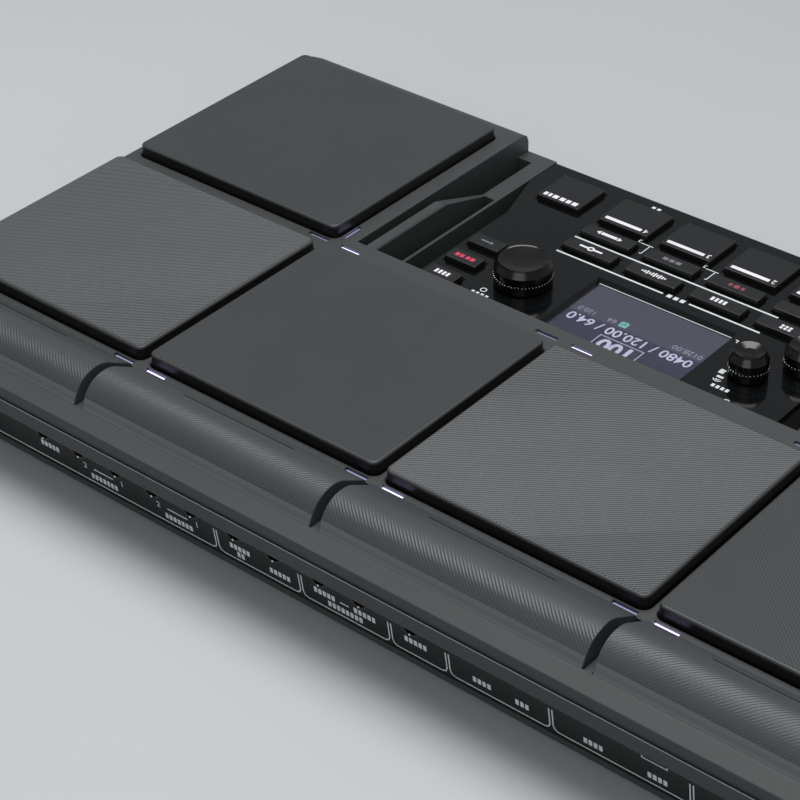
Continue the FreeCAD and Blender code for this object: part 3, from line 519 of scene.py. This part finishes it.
class DRUMPAD_OT_finishes(bpy.types.Operator):
    """Give every moulded, metal and rubber part of the model its finish"""

    bl_idname = "drumpad.finishes"
    bl_label = "Part finishes"

    def execute(self, context):
        # Injection-moulded ABS with a fine spark texture: soft broad highlights
        case = finish("ABS fine spark texture", "#3B3D3E", 0.48, grain=0.22, depth=0.006, cloud=0.06)
        # The socket panel is the same plastic, a little smoother, and painted darker: painted shade in the
        # recess under the lip
        panel = finish("ABS satin black painted shade", "#141616", 0.42, grain=0.2, depth=0.003)
        # Gloss acrylic: near black, and a mirror for what stands over it
        deck = finish("Acrylic gloss black", "#0A0B0C", 0.09, grain=0.6, depth=0.0004, cloud=0.1)
        key = finish("ABS satin key", "#141516", 0.4, grain=0.25, depth=0.003)
        knob = finish("ABS gloss knob", "#080808", 0.2, grain=0.4, depth=0.001)
        foot = finish("Rubber foot", "#141414", 0.75, grain=0.4, depth=0.02)
        foam = finish("Polyurethane foam", "#2A2A2C", 0.95, grain=0.5, depth=0.1, cloud=0.2, patch=2.0)
        plate = finish("Steel galvanised", "#A7ABAE", 0.38, grain=1.5, depth=0.004, cloud=0.1, Metallic=1.0)
        shaft = finish("Steel turned", "#9A9DA0", 0.3, grain=0.2, depth=0.002, Metallic=1.0)
        brass = finish("Brass insert", "#B08D4A", 0.32, grain=0.3, depth=0.003, Metallic=1.0)
        socket = finish("Nylon socket black", "#0D0D0E", 0.3, grain=0.3, depth=0.002)
        usb = finish("Steel nickel plated", "#B9BBBC", 0.24, grain=0.3, depth=0.001, Metallic=1.0)
        lcd = finish("Polycarbonate display frame", "#191A1C", 0.5)
        board = finish("Glass epoxy laminate", "#1D3A2A", 0.4, grain=0.25, depth=0.004, cloud=0.1)
        nylon = finish("Nylon control body", "#2B2C2E", 0.5)
        # Each finish goes to the nodes whose name holds its text
        rules = (
            ("case_bottom", case), ("case_top", self.lip(case)), ("jack_panel", panel), ("control_deck", deck),
            ("feet", foot), ("sensor_cushions", foam), ("_plate", plate), ("stand_inserts", brass),
            ("lcd_module", lcd), ("_board", board), ("usb_sockets", usb), ("case_screws", shaft),
            ("_button", key), ("_knob", knob), ("_shaft", shaft), ("_control", nylon), ("_jacks", socket),
            ("dc_inlet", socket), ("drum_pad", self.pad_body(context)), ("bar_pad", bar_rubber(context)),
            ("light_guide", self.guide(context)), ("display_window", self.glass()))
        for name, part in nodes.items():
            for place in part.material_slots:
                place.material = next(look for text, look in rules if text in name)
        return {"FINISHED"}

    def pad_body(self, context):
        """The pads' rubber, with painted shade: near black down the sides, which stand in the shade of the deep
        gaps beside the rails.
        """
        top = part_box("drum_pad_1")[1].z
        return self.two_tone("Silicone rubber pad body", rubber(context), 2, top - 1.3 * MM, top - 0.5 * MM,
                             colour("#0B0C0C"), True)

    def lip(self, case):
        """The case's plastic, with painted shade: darker on the upright back of the lip. The
        case's plastic, darker on the upright back of the lip to match the photo's tone.
        """
        return self.two_tone("ABS fine spark texture lip", case, 1, 113.95 * MM, 114.08 * MM,
                             colour("#26282A"), False)

    def two_tone(self, name, source, axis, low, high, dark, dark_below):
        """A copy of a finish with painted shade: a darker colour below or above a level along an axis of the
        object.
        """
        if name in bpy.data.materials:
            return bpy.data.materials[name]
        material = source.copy()
        material.name = name
        tree = material.node_tree
        shader = next(made for made in tree.nodes if made.type == "BSDF_PRINCIPLED")
        tint = shader.inputs["Base Color"].links[0].from_socket
        place = parts_of(tree, add(tree, "ShaderNodeTexCoord").outputs["Object"])
        share = add(tree, "ShaderNodeMapRange", {"Value": place[axis], "From Min": low, "From Max": high})
        mixed = add(tree, "ShaderNodeMix", {
            0: share.outputs[0], 6: dark if dark_below else tint, 7: tint if dark_below else dark},
            data_type="RGBA")
        tree.links.new(mixed.outputs[2], shader.inputs["Base Color"])
        return material

    def guide(self, context):
        """Acrylic light guide: bright on one side of each crossing and dim on the other."""
        light = context.scene.drumpad_light
        dim_share = 0.16
        material, tree, place = blank_material("Acrylic light guide")
        columns = calc(tree, "DIVIDE", parts_of(tree, place)[0], COLUMN_PITCH * MM)
        share = calc(tree, "FRACT", calc(tree, "ADD", columns, 0.5))
        bright = calc(tree, "LESS_THAN", share, 0.5)
        shader_of(tree, {
            "Base Color": colour("#55556A"), "Roughness": 0.3, "Emission Color": tuple(light.slot) + (1.0,),
            "Emission Strength": spread(tree, bright, light.slot_power * dim_share, light.slot_power)})
        return material

    def glass(self):
        """Clear window: mirrors softly, lets the picture through."""
        material, tree, place = blank_material("Mineral glass window")
        shader_of(tree, {
            "Base Color": colour("#F4F6F8"), "Transmission Weight": 1.0,
            "Roughness": spread(tree, noise(tree, place, 12.0, 3.0), 0.0, 0.01)})
        return material


class DRUMPAD_OT_pad_ribs(bpy.types.Operator):
    """Lay the diagonal ribs on the six drum pads"""

    bl_idname = "drumpad.pad_ribs"
    bl_label = "Drum pad ribs"

    def execute(self, context):
        pads = context.scene.drumpad_pads
        # A square sheet of ribs covers a pad's diagonal, with one face along each rib
        edge, corner, reach = 0.9 * MM, 1.7, 0.135
        for index in range(1, 7):
            low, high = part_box("drum_pad_%d" % index)
            outline = [(x * MM, y * MM) for x, y in round_bar(
                (low.x + edge) / MM, (high.x - edge) / MM, 0.0, (high.y - low.y - 2 * edge) / MM, corner)]
            profile = profile_curve("profile", [(low.y + edge, high.z), (high.y - edge, high.z)])
            falling = index in (1, 3, 6)
            mesh = baked("pad_ribs_%d" % index, outline_mesh("outline", [outline]), rib_tree(), {
                "Pitch": pads.rib_pitch, "Rise": pads.rib_rise, "Base": RIB_BASE,
                "Angle": -pads.rib_angle if falling else pads.rib_angle, "Reach": reach, "Step": 0.134,
                "Centre X": (low.x + high.x) / 2, "Centre Y": (high.y - low.y) / 2 - edge,
                "Profile": profile, "Finish": rubber(context)}, [profile])
            piece("pad_ribs_%d" % index, mesh, None)
        return {"FINISHED"}


class DRUMPAD_OT_bar_ribs(bpy.types.Operator):
    """Lay the diagonal ribs over the four round bar pads"""

    bl_idname = "drumpad.bar_ribs"
    bl_label = "Bar pad ribs"

    def execute(self, context):
        pads = context.scene.drumpad_pads
        for index in range(1, 5):
            node = nodes["bar_pad_%d" % index]
            low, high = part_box("bar_pad_%d" % index)
            toe, tail, crest_y = 37.2 * MM, 38.4 * MM, (low.y + high.y) / 2
            end = {(round(v.co.y, 6), round(v.co.z, 6)) for v in node.data.vertices
                   if v.co.x < low.x + 1e-6 and v.co.z > (toe if v.co.y < crest_y else tail)}
            points = sorted(end)
            length = sum(math.dist(a, b) for a, b in zip(points, points[1:]))
            middle = (low.x + high.x) / 2
            x0, x1, y0, y1 = low.x + 0.25 * MM, high.x - 0.25 * MM, 0.1 * MM, length - 0.1 * MM
            # The ribs leave a smooth strip across the middle of the bar, from s0 to s1 along the profile
            s0, s1, half = 4.3 * MM, 5.35 * MM, 22.7 * MM
            left, right = middle - half, middle + half
            outline = [[(x0, y0), (x1, y0), (x1, s0), (right, s0), (left, s0), (x0, s0)],
                       [(x0, s0), (left, s0), (left, s1), (x0, s1)],
                       [(right, s0), (x1, s0), (x1, s1), (right, s1)],
                       [(x0, s1), (left, s1), (right, s1), (x1, s1), (x1, y1), (x0, y1)]]
            profile = profile_curve("profile", points)
            falling = index in (1, 3)
            mesh = baked("bar_ribs_%d" % index, outline_mesh("outline", outline), rib_tree(), {
                "Pitch": pads.rib_pitch, "Rise": pads.rib_rise * 0.75, "Base": RIB_BASE,
                "Angle": pads.rib_angle if falling else -pads.rib_angle, "Reach": 0.094, "Step": 1.5 * MM,
                "Centre X": middle, "Centre Y": length / 2,
                "Profile": profile, "Finish": bar_rubber(context)}, [profile])
            piece("bar_ribs_%d" % index, mesh, None)
            # Behind the ribs the bar runs out smooth
            skirt = sorted({(round(v.co.y, 6), round(v.co.z, 6)) for v in node.data.vertices
                            if v.co.x < low.x + 1e-6 and v.co.y > crest_y and 35.85 * MM < v.co.z < 38.9 * MM})
            # A small sweep at its foot meets the ledge
            skirt.append((high.y + 0.3 * MM, 35.62 * MM))
            piece("bar_skirt_%d" % index, ribbon_mesh("bar_skirt", skirt, x0, x1, 0.1 * MM, 0.04 * MM),
                  self.skirt_finish())
        return {"FINISHED"}

    def skirt_finish(self):
        # The same silicone without ribs, glossier, and painted paler: painted light on the skirt behind the
        # ribs
        return finish("Silicone rubber skirt painted light", "#626467", 0.34, grain=0.4, depth=0.002, cloud=0.04,
                      patch=20.0)


def ink(context):
    # Screen-printed ink: matt, slightly uneven cover
    return finish("Screen print ink", context.scene.drumpad_print.ink, 0.55, grain=0.3, depth=0.003, cloud=0.06,
                  patch=3.0)


class DRUMPAD_OT_deck_print(bpy.types.Operator):
    """Print the lines, rings and small marks on the control deck"""

    bl_idname = "drumpad.deck_print"
    bl_label = "Deck print"

    def execute(self, context):
        printing = context.scene.drumpad_print
        low, high = DECK_Z - 0.01, DECK_Z + printing.film / MM
        line = printing.line / MM
        shapes = []
        row_y = -66.4
        shapes.append(bar(-39.7, -12.3, row_y - line / 2, row_y + line / 2))
        shapes.append(bar(-2.0, 41.8, row_y - line / 2, row_y + line / 2))
        shapes += [bar(-10.6 + 2.6 * i, -8.9 + 2.6 * i, row_y - 0.9, row_y + 0.9) for i in range(3)]
        second_y = -77.55
        shapes.append(bar(-39.7, 42.2, second_y - line / 2, second_y + line / 2))
        # Brackets between the key columns
        for x in (-9.6, 16.9):
            shapes.append(path([(x + 2.0, -82.4), (x + 1.2, -82.4), (x + 1.2, -88.0)], 0.35))
            shapes.append(bar(x, x + 5.0, -88.3, -87.9))
            shapes.append(path([(x + 5.4, -88.3), (x + 6.2, -88.3), (x + 6.2, -89.6), (x + 5.4, -89.6)], 0.35))
        # Dial marks: a ring at the large knob, an arc and a lamp mark at the tempo knob
        shapes += ring(45.9, -31.3, 1.25, 0.85)
        shapes += [bar(42.0 + 1.9 * i, 43.2 + 1.9 * i, -29.2, -27.7) for i in range(4)]
        shapes += [bar(-49.8 + 1.75 * i, -48.7 + 1.75 * i, -33.5, -31.9) for i in range(4)]
        shapes += ring(-43.4, -36.6, 1.7, 1.3, 20, 160, 8)
        shapes += ring(-43.4, -36.6, 0.9, 0.5, 20, 160, 6)
        shapes.append(bar(-44.6, -42.2, -38.3, -37.2))
        shapes.append(round_bar(-43.2, -41.3, -41.9, -39.5, 0.3))
        shapes += ring(-52.2, -27.3, 1.6, 1.2, -120, 60, 10)
        shapes.append(path([(-36.9, -56.9), (-36.9, -58.3), (-35.9, -58.3)], 0.4))
        # Small sign in front of the last track key
        shapes += [bar(28.8, 30.2, -110.6, -109.3), bar(31.0, 32.4, -110.6, -109.3)]
        piece("deck_print", slab_mesh("deck_print", shapes, low, high), ink(context))
        return {"FINISHED"}


def blocks(x, y, half, *spans):
    """Blocks in a row about a place, each over its own span of X."""
    return [bar(x + a, x + b, y - half, y + half) for a, b in spans]


class DRUMPAD_OT_key_marks(bpy.types.Operator):
    """Put the backlit marks on the key caps"""

    bl_idname = "drumpad.key_marks"
    bl_label = "Key marks"

    def execute(self, context):
        white = lit("Backlit film white", "#F2F2F8", 0.95)
        dim = lit("Backlit film unlit", "#A9ABB2", 0.42)
        red = lit("Backlit film red", "#F0486C", 0.8)
        dark_red = lit("Backlit film dim red", "#C05868", 0.55)
        film = 0.03

        def put(key, shapes, material, numeral=None):
            low, high = box_mm(key)
            levels = high.z - 0.01, high.z + film
            meshes = [slab_mesh("mark", shapes, *levels)]
            if numeral:
                meshes.append(numeral_mesh(numeral, low.x + 1.9, high.y - 4.4, 2.4, *levels))
            piece(key.replace("_button", "") + "_mark", joined(key + "_mark", meshes), material, key)

        for number in range(1, 5):
            key = "track_button_%d" % number
            low, high = box_mm(key)
            stripe = round_bar(low.x + 4.4, high.x - 2.3, high.y - 3.85, high.y - 2.25, 0.3)
            put(key, [stripe], white, str(number))
        signs = {
            "lower_button_4": (white, self.wrench), "lower_button_3": (white, self.wave),
            "lower_button_2": (white, self.steps), "lower_button_1": (white, self.grid),
            "upper_button_4": (white, self.arrows), "upper_button_3": (dim, self.cross),
            "upper_button_2": (dark_red, self.dot), "upper_button_1": (dim, self.play),
            "edit_button": (white, self.steps), "write_button": (red, self.down),
            "exit_button": (dim, self.back), "stop_button": (white, self.stop)}
        for key, (material, sign) in signs.items():
            low, high = box_mm(key)
            y = high.y - 3.0 if key == "stop_button" else (low.y + high.y) / 2
            put(key, sign((low.x + high.x) / 2, y), material)
        return {"FINISHED"}

    def wrench(self, x, y):
        return blocks(x, y, 0.45, (-4.6, -1.1), (1.1, 4.6)) + ring(x, y, 1.3, 0.65)

    def wave(self, x, y):
        heights = (0.8, 1.5, 2.3, 1.5, 2.4, 1.8, 1.1, 2.1, 1.3, 0.8)
        return [bar(x - 4.8 + i, x - 4.2 + i, y - h / 2, y + h / 2) for i, h in enumerate(heights)]

    def steps(self, x, y):
        return [bar(x - 2.9 + 1.6 * i, x - 1.9 + 1.6 * i, y - 1.1, y + 1.1) for i in range(4)]

    def grid(self, x, y):
        return [bar(x - 2.0 + 1.5 * i, x - 1.0 + 1.5 * i, y - 1.2 + 1.4 * j, y - 0.2 + 1.4 * j)
                for i in range(3) for j in range(2)]

    def arrows(self, x, y):
        return [[(x - 5.2, y), (x - 3.6, y - 1.1), (x - 3.6, y + 1.1)],
                bar(x - 3.2, x + 3.2, y - 0.75, y + 0.75),
                [(x + 5.2, y), (x + 3.6, y + 1.1), (x + 3.6, y - 1.1)]]

    def cross(self, x, y):
        return blocks(x, y, 0.85, (-3.6, -1.6), (-1.0, 1.0), (1.6, 3.6))

    def dot(self, x, y):
        disc = round_bar(x - 1.1, x + 1.1, y - 1.1, y + 1.1, 1.1, 6)
        return [disc] + blocks(x, y, 0.8, (1.8, 3.0), (-3.0, -1.8))

    def play(self, x, y):
        return [[(x - 1.0, y - 1.1), (x + 1.2, y), (x - 1.0, y + 1.1)]]

    def down(self, x, y):
        return blocks(x, y, 0.9, (-4.0, -2.4), (-1.9, -0.5), (0.5, 1.9), (2.4, 4.0))

    def back(self, x, y):
        return [[(x - 2.6, y), (x - 1.3, y - 0.95), (x - 1.3, y + 0.95)],
                bar(x - 1.0, x + 2.6, y - 0.35, y + 0.35)]

    def stop(self, x, y):
        return blocks(x, y, 1.05, (-7.0, -4.9), (-4.2, -2.4), (-1.7, 0.3), (1.2, 3.3), (4.0, 5.2), (5.8, 7.2))


def rim_tree():
    """An upright wire ring with a small ball low in it, at each point of the carrier."""
    tree, given = new_group(
        "Socket rims", "Rims", Geometry=["Places"], Float=["Ring radius", "Wire radius", "Tip radius"],
        Material=["Finish", "Tip finish"])
    circle = geo(tree, "CurvePrimitiveCircle", {"Resolution": 48, "Radius": given["Ring radius"]})
    wire = geo(tree, "CurvePrimitiveCircle", {"Resolution": 12, "Radius": given["Wire radius"]})
    band = geo(tree, "CurveToMesh", {"Curve": circle, "Profile Curve": wire})
    upright = geo(tree, "Transform", {"Geometry": band, "Rotation": (math.pi / 2, 0.0, 0.0)})
    plated = geo(tree, "SetMaterial", {"Geometry": upright, "Material": given["Finish"]})
    ball = geo(tree, "MeshIcoSphere", {"Radius": given["Tip radius"], "Subdivisions": 3})
    spot = xyz(tree, {2: calc(tree, "MULTIPLY", given["Ring radius"], -1.0)})
    tip = geo(tree, "Transform", {"Geometry": ball, "Translation": spot})
    bright = geo(tree, "SetMaterial", {"Geometry": tip, "Material": given["Tip finish"]})
    smooth = geo(tree, "SetShadeSmooth", {"Geometry": joined_nodes(tree, plated, bright)})
    copies = geo(tree, "InstanceOnPoints", {"Points": given["Places"], "Instance": smooth})
    add(tree, "NodeGroupOutput", {"Rims": geo(tree, "RealizeInstances", {"Geometry": copies})})
    return tree


class DRUMPAD_OT_rear_details(bpy.types.Operator):
    """Set the plated rims of the sockets and the painted highlight along the rear seam"""

    bl_idname = "drumpad.rear_details"
    bl_label = "Rear details"

    def execute(self, context):
        # Dark rims with bright tips, chosen to match the arc and the bright dot in each socket of the photo
        rim = finish("Brass black nickel plated", "#3E3F41", 0.22, grain=0.3, depth=0.0008, Metallic=1.0)
        nickel = finish("Brass nickel plated", "#E2E3E4", 0.3, grain=0.3, depth=0.0008, Metallic=1.0)
        tree = rim_tree()
        for name, node, places, radius, wire in (
                ("socket_rims", "output_jacks", LARGE_SOCKETS, 3.5, 0.24),
                ("midi_rims", "midi_jacks", MIDI_SOCKETS, 2.05, 0.18)):
            face = box_mm(node)[1].y + 0.05
            points = bpy.data.meshes.new("places")
            points.from_pydata([(x * MM, face * MM, SOCKET_LEVEL * MM) for x in places], [], [])
            mesh = baked(name, points, tree, {
                "Ring radius": radius * MM, "Wire radius": wire * MM, "Tip radius": wire * 1.9 * MM,
                "Finish": rim, "Tip finish": nickel})
            piece(name, mesh, None)
        # A painted highlight: a pale line along the rear seam, where its edge catches the light
        line, half = ((114.58, 31.27), (114.7, 31.27), (114.76, 31.2)), 184 * MM
        seam = ribbon_mesh("seam_edge", [(y * MM, z * MM) for y, z in line], -half, half, 0.05 * MM, 0.02 * MM)
        piece("seam_edge", seam, finish("ABS edge painted highlight", "#9C9EA0", 0.35, depth=0.001))
        return {"FINISHED"}


def bead_tree():
    """A ring of small beads round a level circle."""
    tree, given = new_group(
        "Bead ring", "Beads", Geometry=["Carrier"], Int=["Count"],
        Float=["Ring radius", "Bead radius", "Centre X", "Centre Y", "Level"], Material=["Finish"])
    circle = geo(tree, "MeshCircle", {"Vertices": given["Count"], "Radius": given["Ring radius"]})
    bead = geo(tree, "MeshIcoSphere", {"Radius": given["Bead radius"], "Subdivisions": 2})
    copies = geo(tree, "InstanceOnPoints", {"Points": circle, "Instance": bead})
    place = xyz(tree, {0: given["Centre X"], 1: given["Centre Y"], 2: given["Level"]})
    moved = geo(tree, "Transform", {"Geometry": copies, "Translation": place})
    real = geo(tree, "RealizeInstances", {"Geometry": moved})
    add(tree, "NodeGroupOutput", {
        "Beads": geo(tree, "SetMaterial", {"Geometry": real, "Material": given["Finish"]})})
    return tree


class DRUMPAD_OT_knob_beads(bpy.types.Operator):
    """Set the fine row of bright beads round the skirt of each knob, as painted glints of the knurl tips"""

    bl_idname = "drumpad.knob_beads"
    bl_label = "Knob beads"

    def execute(self, context):
        # Painted glints: bright metal beads for the glints of the knurl tips, each catching the lamp as a dot
        metal = finish("Aluminium beads painted glints", "#D9DBDD", 0.22, depth=0.0005, Metallic=1.0)
        tree = bead_tree()
        for knob, count in (("value_knob", 52), ("metronome_knob", 34), ("volume_knob", 34)):
            low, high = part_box(knob)
            radius = (high.x - low.x) / 2
            mesh = baked(knob + "_beads", outline_mesh("carrier", [[(0, 0), (MM, 0), (0, MM)]]), tree, {
                "Count": count, "Ring radius": radius - 0.02 * MM, "Bead radius": 0.27 * MM,
                "Centre X": (low.x + high.x) / 2, "Centre Y": (low.y + high.y) / 2,
                "Level": low.z + 3.1 * MM, "Finish": metal})
            piece(knob + "_beads", mesh, None, knob)
        return {"FINISHED"}


class DRUMPAD_OT_display_picture(bpy.types.Operator):
    """Draw the display's rows, numerals and signs under its window"""

    bl_idname = "drumpad.display_picture"
    bl_label = "Display picture"

    def execute(self, context):
        low, high = box_mm("display_window")
        x0, x1, y0, y1 = low.x + 0.3, high.x - 0.3, low.y + 0.3, high.y - 0.3
        ground_z, mark_z = low.z + 0.02, low.z + 0.06
        band_y = -42.7
        film = 0.02

        def show(name, mesh, look, code, *glow):
            piece(name, mesh, lit(look, code, *glow))

        def numerals(text, x, y, height, *more):
            return numeral_mesh(text, x, y, height, mark_z, mark_z + film, *more)

        ground = slab_mesh("ground", [bar(x0, x1, y0, band_y)], ground_z, ground_z + film)
        title = slab_mesh("title", [bar(x0, x1, band_y, y1)], ground_z, ground_z + film)
        show("display_ground", ground, "Display ground grey", context.scene.drumpad_light.screen, 0.9, 0.05)
        show("display_title", title, "Display ground violet", "#313049", 0.9, 0.05)
        text = [numerals("100", -7.0, -35.0, 6.4, True, 0.03),
                numerals("0480 / 120.00 / 64.0", -7.0, -41.8, 4.2, True, 0.014),
                slab_mesh("lines", outline_box(-15.6, 1.6, -36.4, y1 - 0.4, 0.3), mark_z, mark_z + film)]
        show("display_text", joined("display_text", text), "Display text pale violet", "#CFCFEA", 0.85)
        small = [numerals("0128.00", -32.0, -46.3, 2.5), numerals("64", 1.7, -46.3, 2.3),
                 numerals("120.0", 9.6, -46.3, 2.3)]
        small = joined("display_small_text", small)
        show("display_small_text", small, "Display text grey violet", "#A3A1BD", 0.85)
        # A painted highlight: a bright line along the window's front edge, where the bevel catches the light
        strip = bar(low.x + 0.1, high.x - 0.1, low.y + 0.02, low.y + 0.4)
        edge = slab_mesh("edge", [strip], high.z, high.z + 0.06)
        piece("window_front_edge", edge, finish("Glass edge painted highlight", "#C9CDD0", 0.25, depth=0.0005))
        sign = slab_mesh("sign", [round_bar(-2.7, 0.4, -47.0, -43.9, 0.5)], mark_z, mark_z + film)
        show("display_sign", sign, "Display sign green", "#7FC8C0", 0.85)
        tick = slab_mesh("tick", [path([(-2.0, -45.4), (-1.3, -46.1), (-0.2, -44.7)], 0.35)],
                         mark_z + 0.03, mark_z + 0.05)
        show("display_tick", tick, "Display ground dark", "#2E5C58", 0.8)
        return {"FINISHED"}


class DRUMPAD_OT_socket_print(bpy.types.Operator):
    """Print the frames, numbers and bars on the leaning socket panel"""

    bl_idname = "drumpad.socket_print"
    bl_label = "Socket print"

    def execute(self, context):
        jack_low, jack_high = box_mm("output_jacks")
        level = (jack_low.z + jack_high.z) / 2
        face = 106.3
        film = context.scene.drumpad_print.film / MM
        line = 0.42
        # Drawn flat: X as on the panel seen from behind, Y up from the sockets' level, then leaned and set
        base = 6.2 - level
        shapes = []
        dividers = [40.9, 7.1, -27.0, -48.0, -84.0, -130.0]
        starts = [184.5] + dividers
        for left, right in zip(starts, dividers + [-184.5]):
            a, b = left - (0.55 if left < 184 else 0.0), right + (0.55 if right > -184 else 0.0)
            points = [(a, base + 8.4)] if left < 184 else []
            points += [(a, base + 2.0), (a - 0.5, base + 0.6), (a - 1.8, base)] if left < 184 else [(a, base)]
            points += [(b + 1.8, base), (b + 0.5, base + 0.6), (b, base + 2.0)] if right > -184 else [(b, base)]
            points += [(b, base + 8.4)] if right > -184 else []
            shapes.append(path(points[::-1], line))
        # Rows of small printed blocks: place along X, height of the row, half length
        rows = [(112.6, 5.0, 5.0), (89.0, 1.6, 6.6), (56.9, 1.6, 6.0), (31.3, 4.1, 5.0), (31.3, 1.4, 2.4),
                (15.5, 2.4, 4.6), (-2.2, 4.6, 4.6), (-17.5, 4.6, 4.6), (-9.8, 1.5, 7.6), (-36.4, 4.4, 4.6),
                (-60.0, 2.6, 3.4), (-74.0, 2.6, 3.2), (-98.0, 2.0, 4.0), (-119.0, 2.0, 4.0), (-146.0, 2.2, 4.2),
                (-168.0, 2.2, 3.0)]
        pitch, tall = 1.7, 2.1
        for x, rise, half in rows:
            count = int(2 * half / pitch)
            start = x - count * pitch / 2
            shapes += [bar(start + pitch * i + 0.25, start + pitch * i + 1.45, base + rise, base + rise + tall)
                       for i in range(count)]
        for a, b in ((96.8, 80.7), (65.0, 48.8)):
            middle = (a + b) / 2
            shapes.append(bar(middle - 4.2, middle + 4.2, base + 5.75, base + 6.2))
        shapes.append(bar(-11.5, -8.2, base + 5.4, base + 5.85))
        flat = slab_mesh("socket_print", shapes, 0.0, film)
        meshes = [flat]
        for text, x in (("2", 96.8), ("1", 80.7), ("2", 65.0), ("1", 48.8)):
            numeral = numeral_mesh(text, 0.0, 0.0, 2.3, 0.0, film, True)
            numeral.transform(Matrix.Diagonal((-1.0, 1.0, 1.0, 1.0)))
            numeral.transform(Matrix.Translation((x * MM, (base + 4.8) * MM, 0.0)))
            numeral.flip_normals()
            meshes.append(numeral)
        whole = joined("socket_print", meshes)
        # The sheet's up goes to the panel's outward side: first upright, then leaned
        upright = Matrix(((1, 0, 0, 0), (0, 0, 1, 0), (0, 1, 0, 0), (0, 0, 0, 1)))
        lean = Matrix.Rotation(-PANEL_LEAN, 4, "X")
        whole.transform(Matrix.Translation((0, face * MM, level * MM)) @ lean @ upright)
        whole.flip_normals()
        piece("socket_print", whole, ink(context))
        return {"FINISHED"}


class DRUMPAD_OT_stage(bpy.types.Operator):
    """Set the table, the soft lamps and the camera"""

    bl_idname = "drumpad.stage"
    bl_label = "Stage"

    def execute(self, context):
        settings = context.scene.drumpad_stage
        self.floor(settings)
        self.lamps(settings)
        self.camera(settings)
        return {"FINISHED"}

    def floor(self, settings):
        material, tree, place = blank_material("Table laminate pale grey")
        cloud = add(tree, "ShaderNodeTexNoise", {"Vector": place, "Scale": 9.0, "Detail": 2.0})
        base = tuple(settings.floor)
        tint = add(tree, "ShaderNodeMix", {
            0: cloud.outputs["Fac"], 6: tuple(c * 0.98 for c in base) + (1.0,),
            7: tuple(min(1.0, c * 1.02) for c in base) + (1.0,)}, data_type="RGBA")
        # Painted shade: the table is darker towards its far side. The far table is
        # darker, chosen to match the photo's tone
        far_shade = add(tree, "ShaderNodeMapRange", {
            "Value": parts_of(tree, place)[1], "From Min": -0.6, "From Max": 0.1, "To Min": 0.7, "To Max": 1.0})
        shaded = add(tree, "ShaderNodeVectorMath", {
            0: tint.outputs[2], "Scale": far_shade.outputs[0]}, operation="SCALE")
        shader_of(tree, {"Base Color": shaded.outputs[0], "Roughness": 0.85})
        reach = 4.0
        sheet = bmesh.new()
        bmesh.ops.create_grid(sheet, x_segments=2, y_segments=2, size=reach)
        mesh = mesh_of(sheet, "table")
        mesh.materials.append(material)
        placed("table", mesh)

    def lamps(self, settings):
        def area(name, place, aim, size, power, tone):
            lamp = bpy.data.lights.new(name, "AREA")
            lamp.shape = "RECTANGLE"
            lamp.size, lamp.size_y = size
            lamp.energy = power
            lamp.color = colour(tone)[:3]
            made = placed(name, lamp)
            made.location = place
            made.rotation_euler = (Vector(aim) - Vector(place)).to_track_quat("-Z", "Y").to_euler()

        area("lamp_key", (0.1, -0.22, 1.6), (0.0, 0.0, 0.0), (1.4, 1.0), settings.key_power, "#FFFFFF")
        area("lamp_fill", (-0.5, 1.4, 0.8), (0.0, 0.0, 0.0), (1.2, 0.8), settings.fill_power, "#FFFFFF")
        world = bpy.data.worlds.new("studio")
        bpy.context.scene.world = world
        world.use_nodes = True
        tree = world.node_tree
        tree.nodes.clear()
        ground = add(tree, "ShaderNodeBackground", {"Color": colour("#E8ECF0"), "Strength": 0.3})
        add(tree, "ShaderNodeOutputWorld", {"Surface": ground.outputs[0]})

    def camera(self, settings):
        forward = Vector((0.525505, -0.621553, -0.580962)).normalized()
        right = forward.cross(Vector((0, 0, 1))).normalized()
        up = right.cross(forward)
        roll = math.radians(-0.9775)
        turned_right = right * math.cos(roll) + up * math.sin(roll)
        turned_up = turned_right.cross(forward)
        axes = Matrix((turned_right, turned_up, -forward)).transposed().to_4x4()
        eye = bpy.data.cameras.new("camera")
        eye.sensor_width = 36.0
        eye.lens = settings.lens
        eye.clip_start = 0.01
        made = placed("camera", eye)
        made.matrix_world = Matrix.Translation((-0.360075, 0.492912, 0.456886)) @ axes
        bpy.context.scene.camera = made
        bpy.context.scene.view_settings.view_transform = "Standard"


OPERATORS = (
    DRUMPAD_OT_finishes, DRUMPAD_OT_pad_ribs, DRUMPAD_OT_bar_ribs, DRUMPAD_OT_deck_print, DRUMPAD_OT_key_marks,
    DRUMPAD_OT_knob_beads, DRUMPAD_OT_rear_details, DRUMPAD_OT_display_picture, DRUMPAD_OT_socket_print,
    DRUMPAD_OT_stage)
SETTINGS = {
    "drumpad_pads": PadSettings, "drumpad_print": PrintSettings, "drumpad_light": LightSettings,
    "drumpad_stage": StageSettings}


class DRUMPAD_PT_panel(bpy.types.Panel):
    bl_idname = "DRUMPAD_PT_panel"
    bl_label = "Drum Pad"
    bl_space_type = "VIEW_3D"
    bl_region_type = "UI"
    bl_category = "Drum Pad"

    def draw(self, context):
        for name, group in SETTINGS.items():
            values = getattr(context.scene, name)
            box = self.layout.box()
            for key in group.__annotations__:
                box.prop(values, key)
        for operator in OPERATORS:
            self.layout.operator(operator.bl_idname)


def register():
    for group in SETTINGS.values():
        bpy.utils.register_class(group)
    for name, group in SETTINGS.items():
        setattr(bpy.types.Scene, name, bpy.props.PointerProperty(type=group))
    for kind in OPERATORS + (DRUMPAD_PT_panel,):
        bpy.utils.register_class(kind)


def unregister():
    for kind in reversed(OPERATORS + (DRUMPAD_PT_panel,)):
        bpy.utils.unregister_class(kind)
    for name in SETTINGS:
        delattr(bpy.types.Scene, name)
    for group in SETTINGS.values():
        bpy.utils.unregister_class(group)


def main():
    register()
    for operator in OPERATORS:
        family, name = operator.bl_idname.split(".")
        getattr(getattr(bpy.ops, family), name)()


if __name__ == "__main__":
    main()
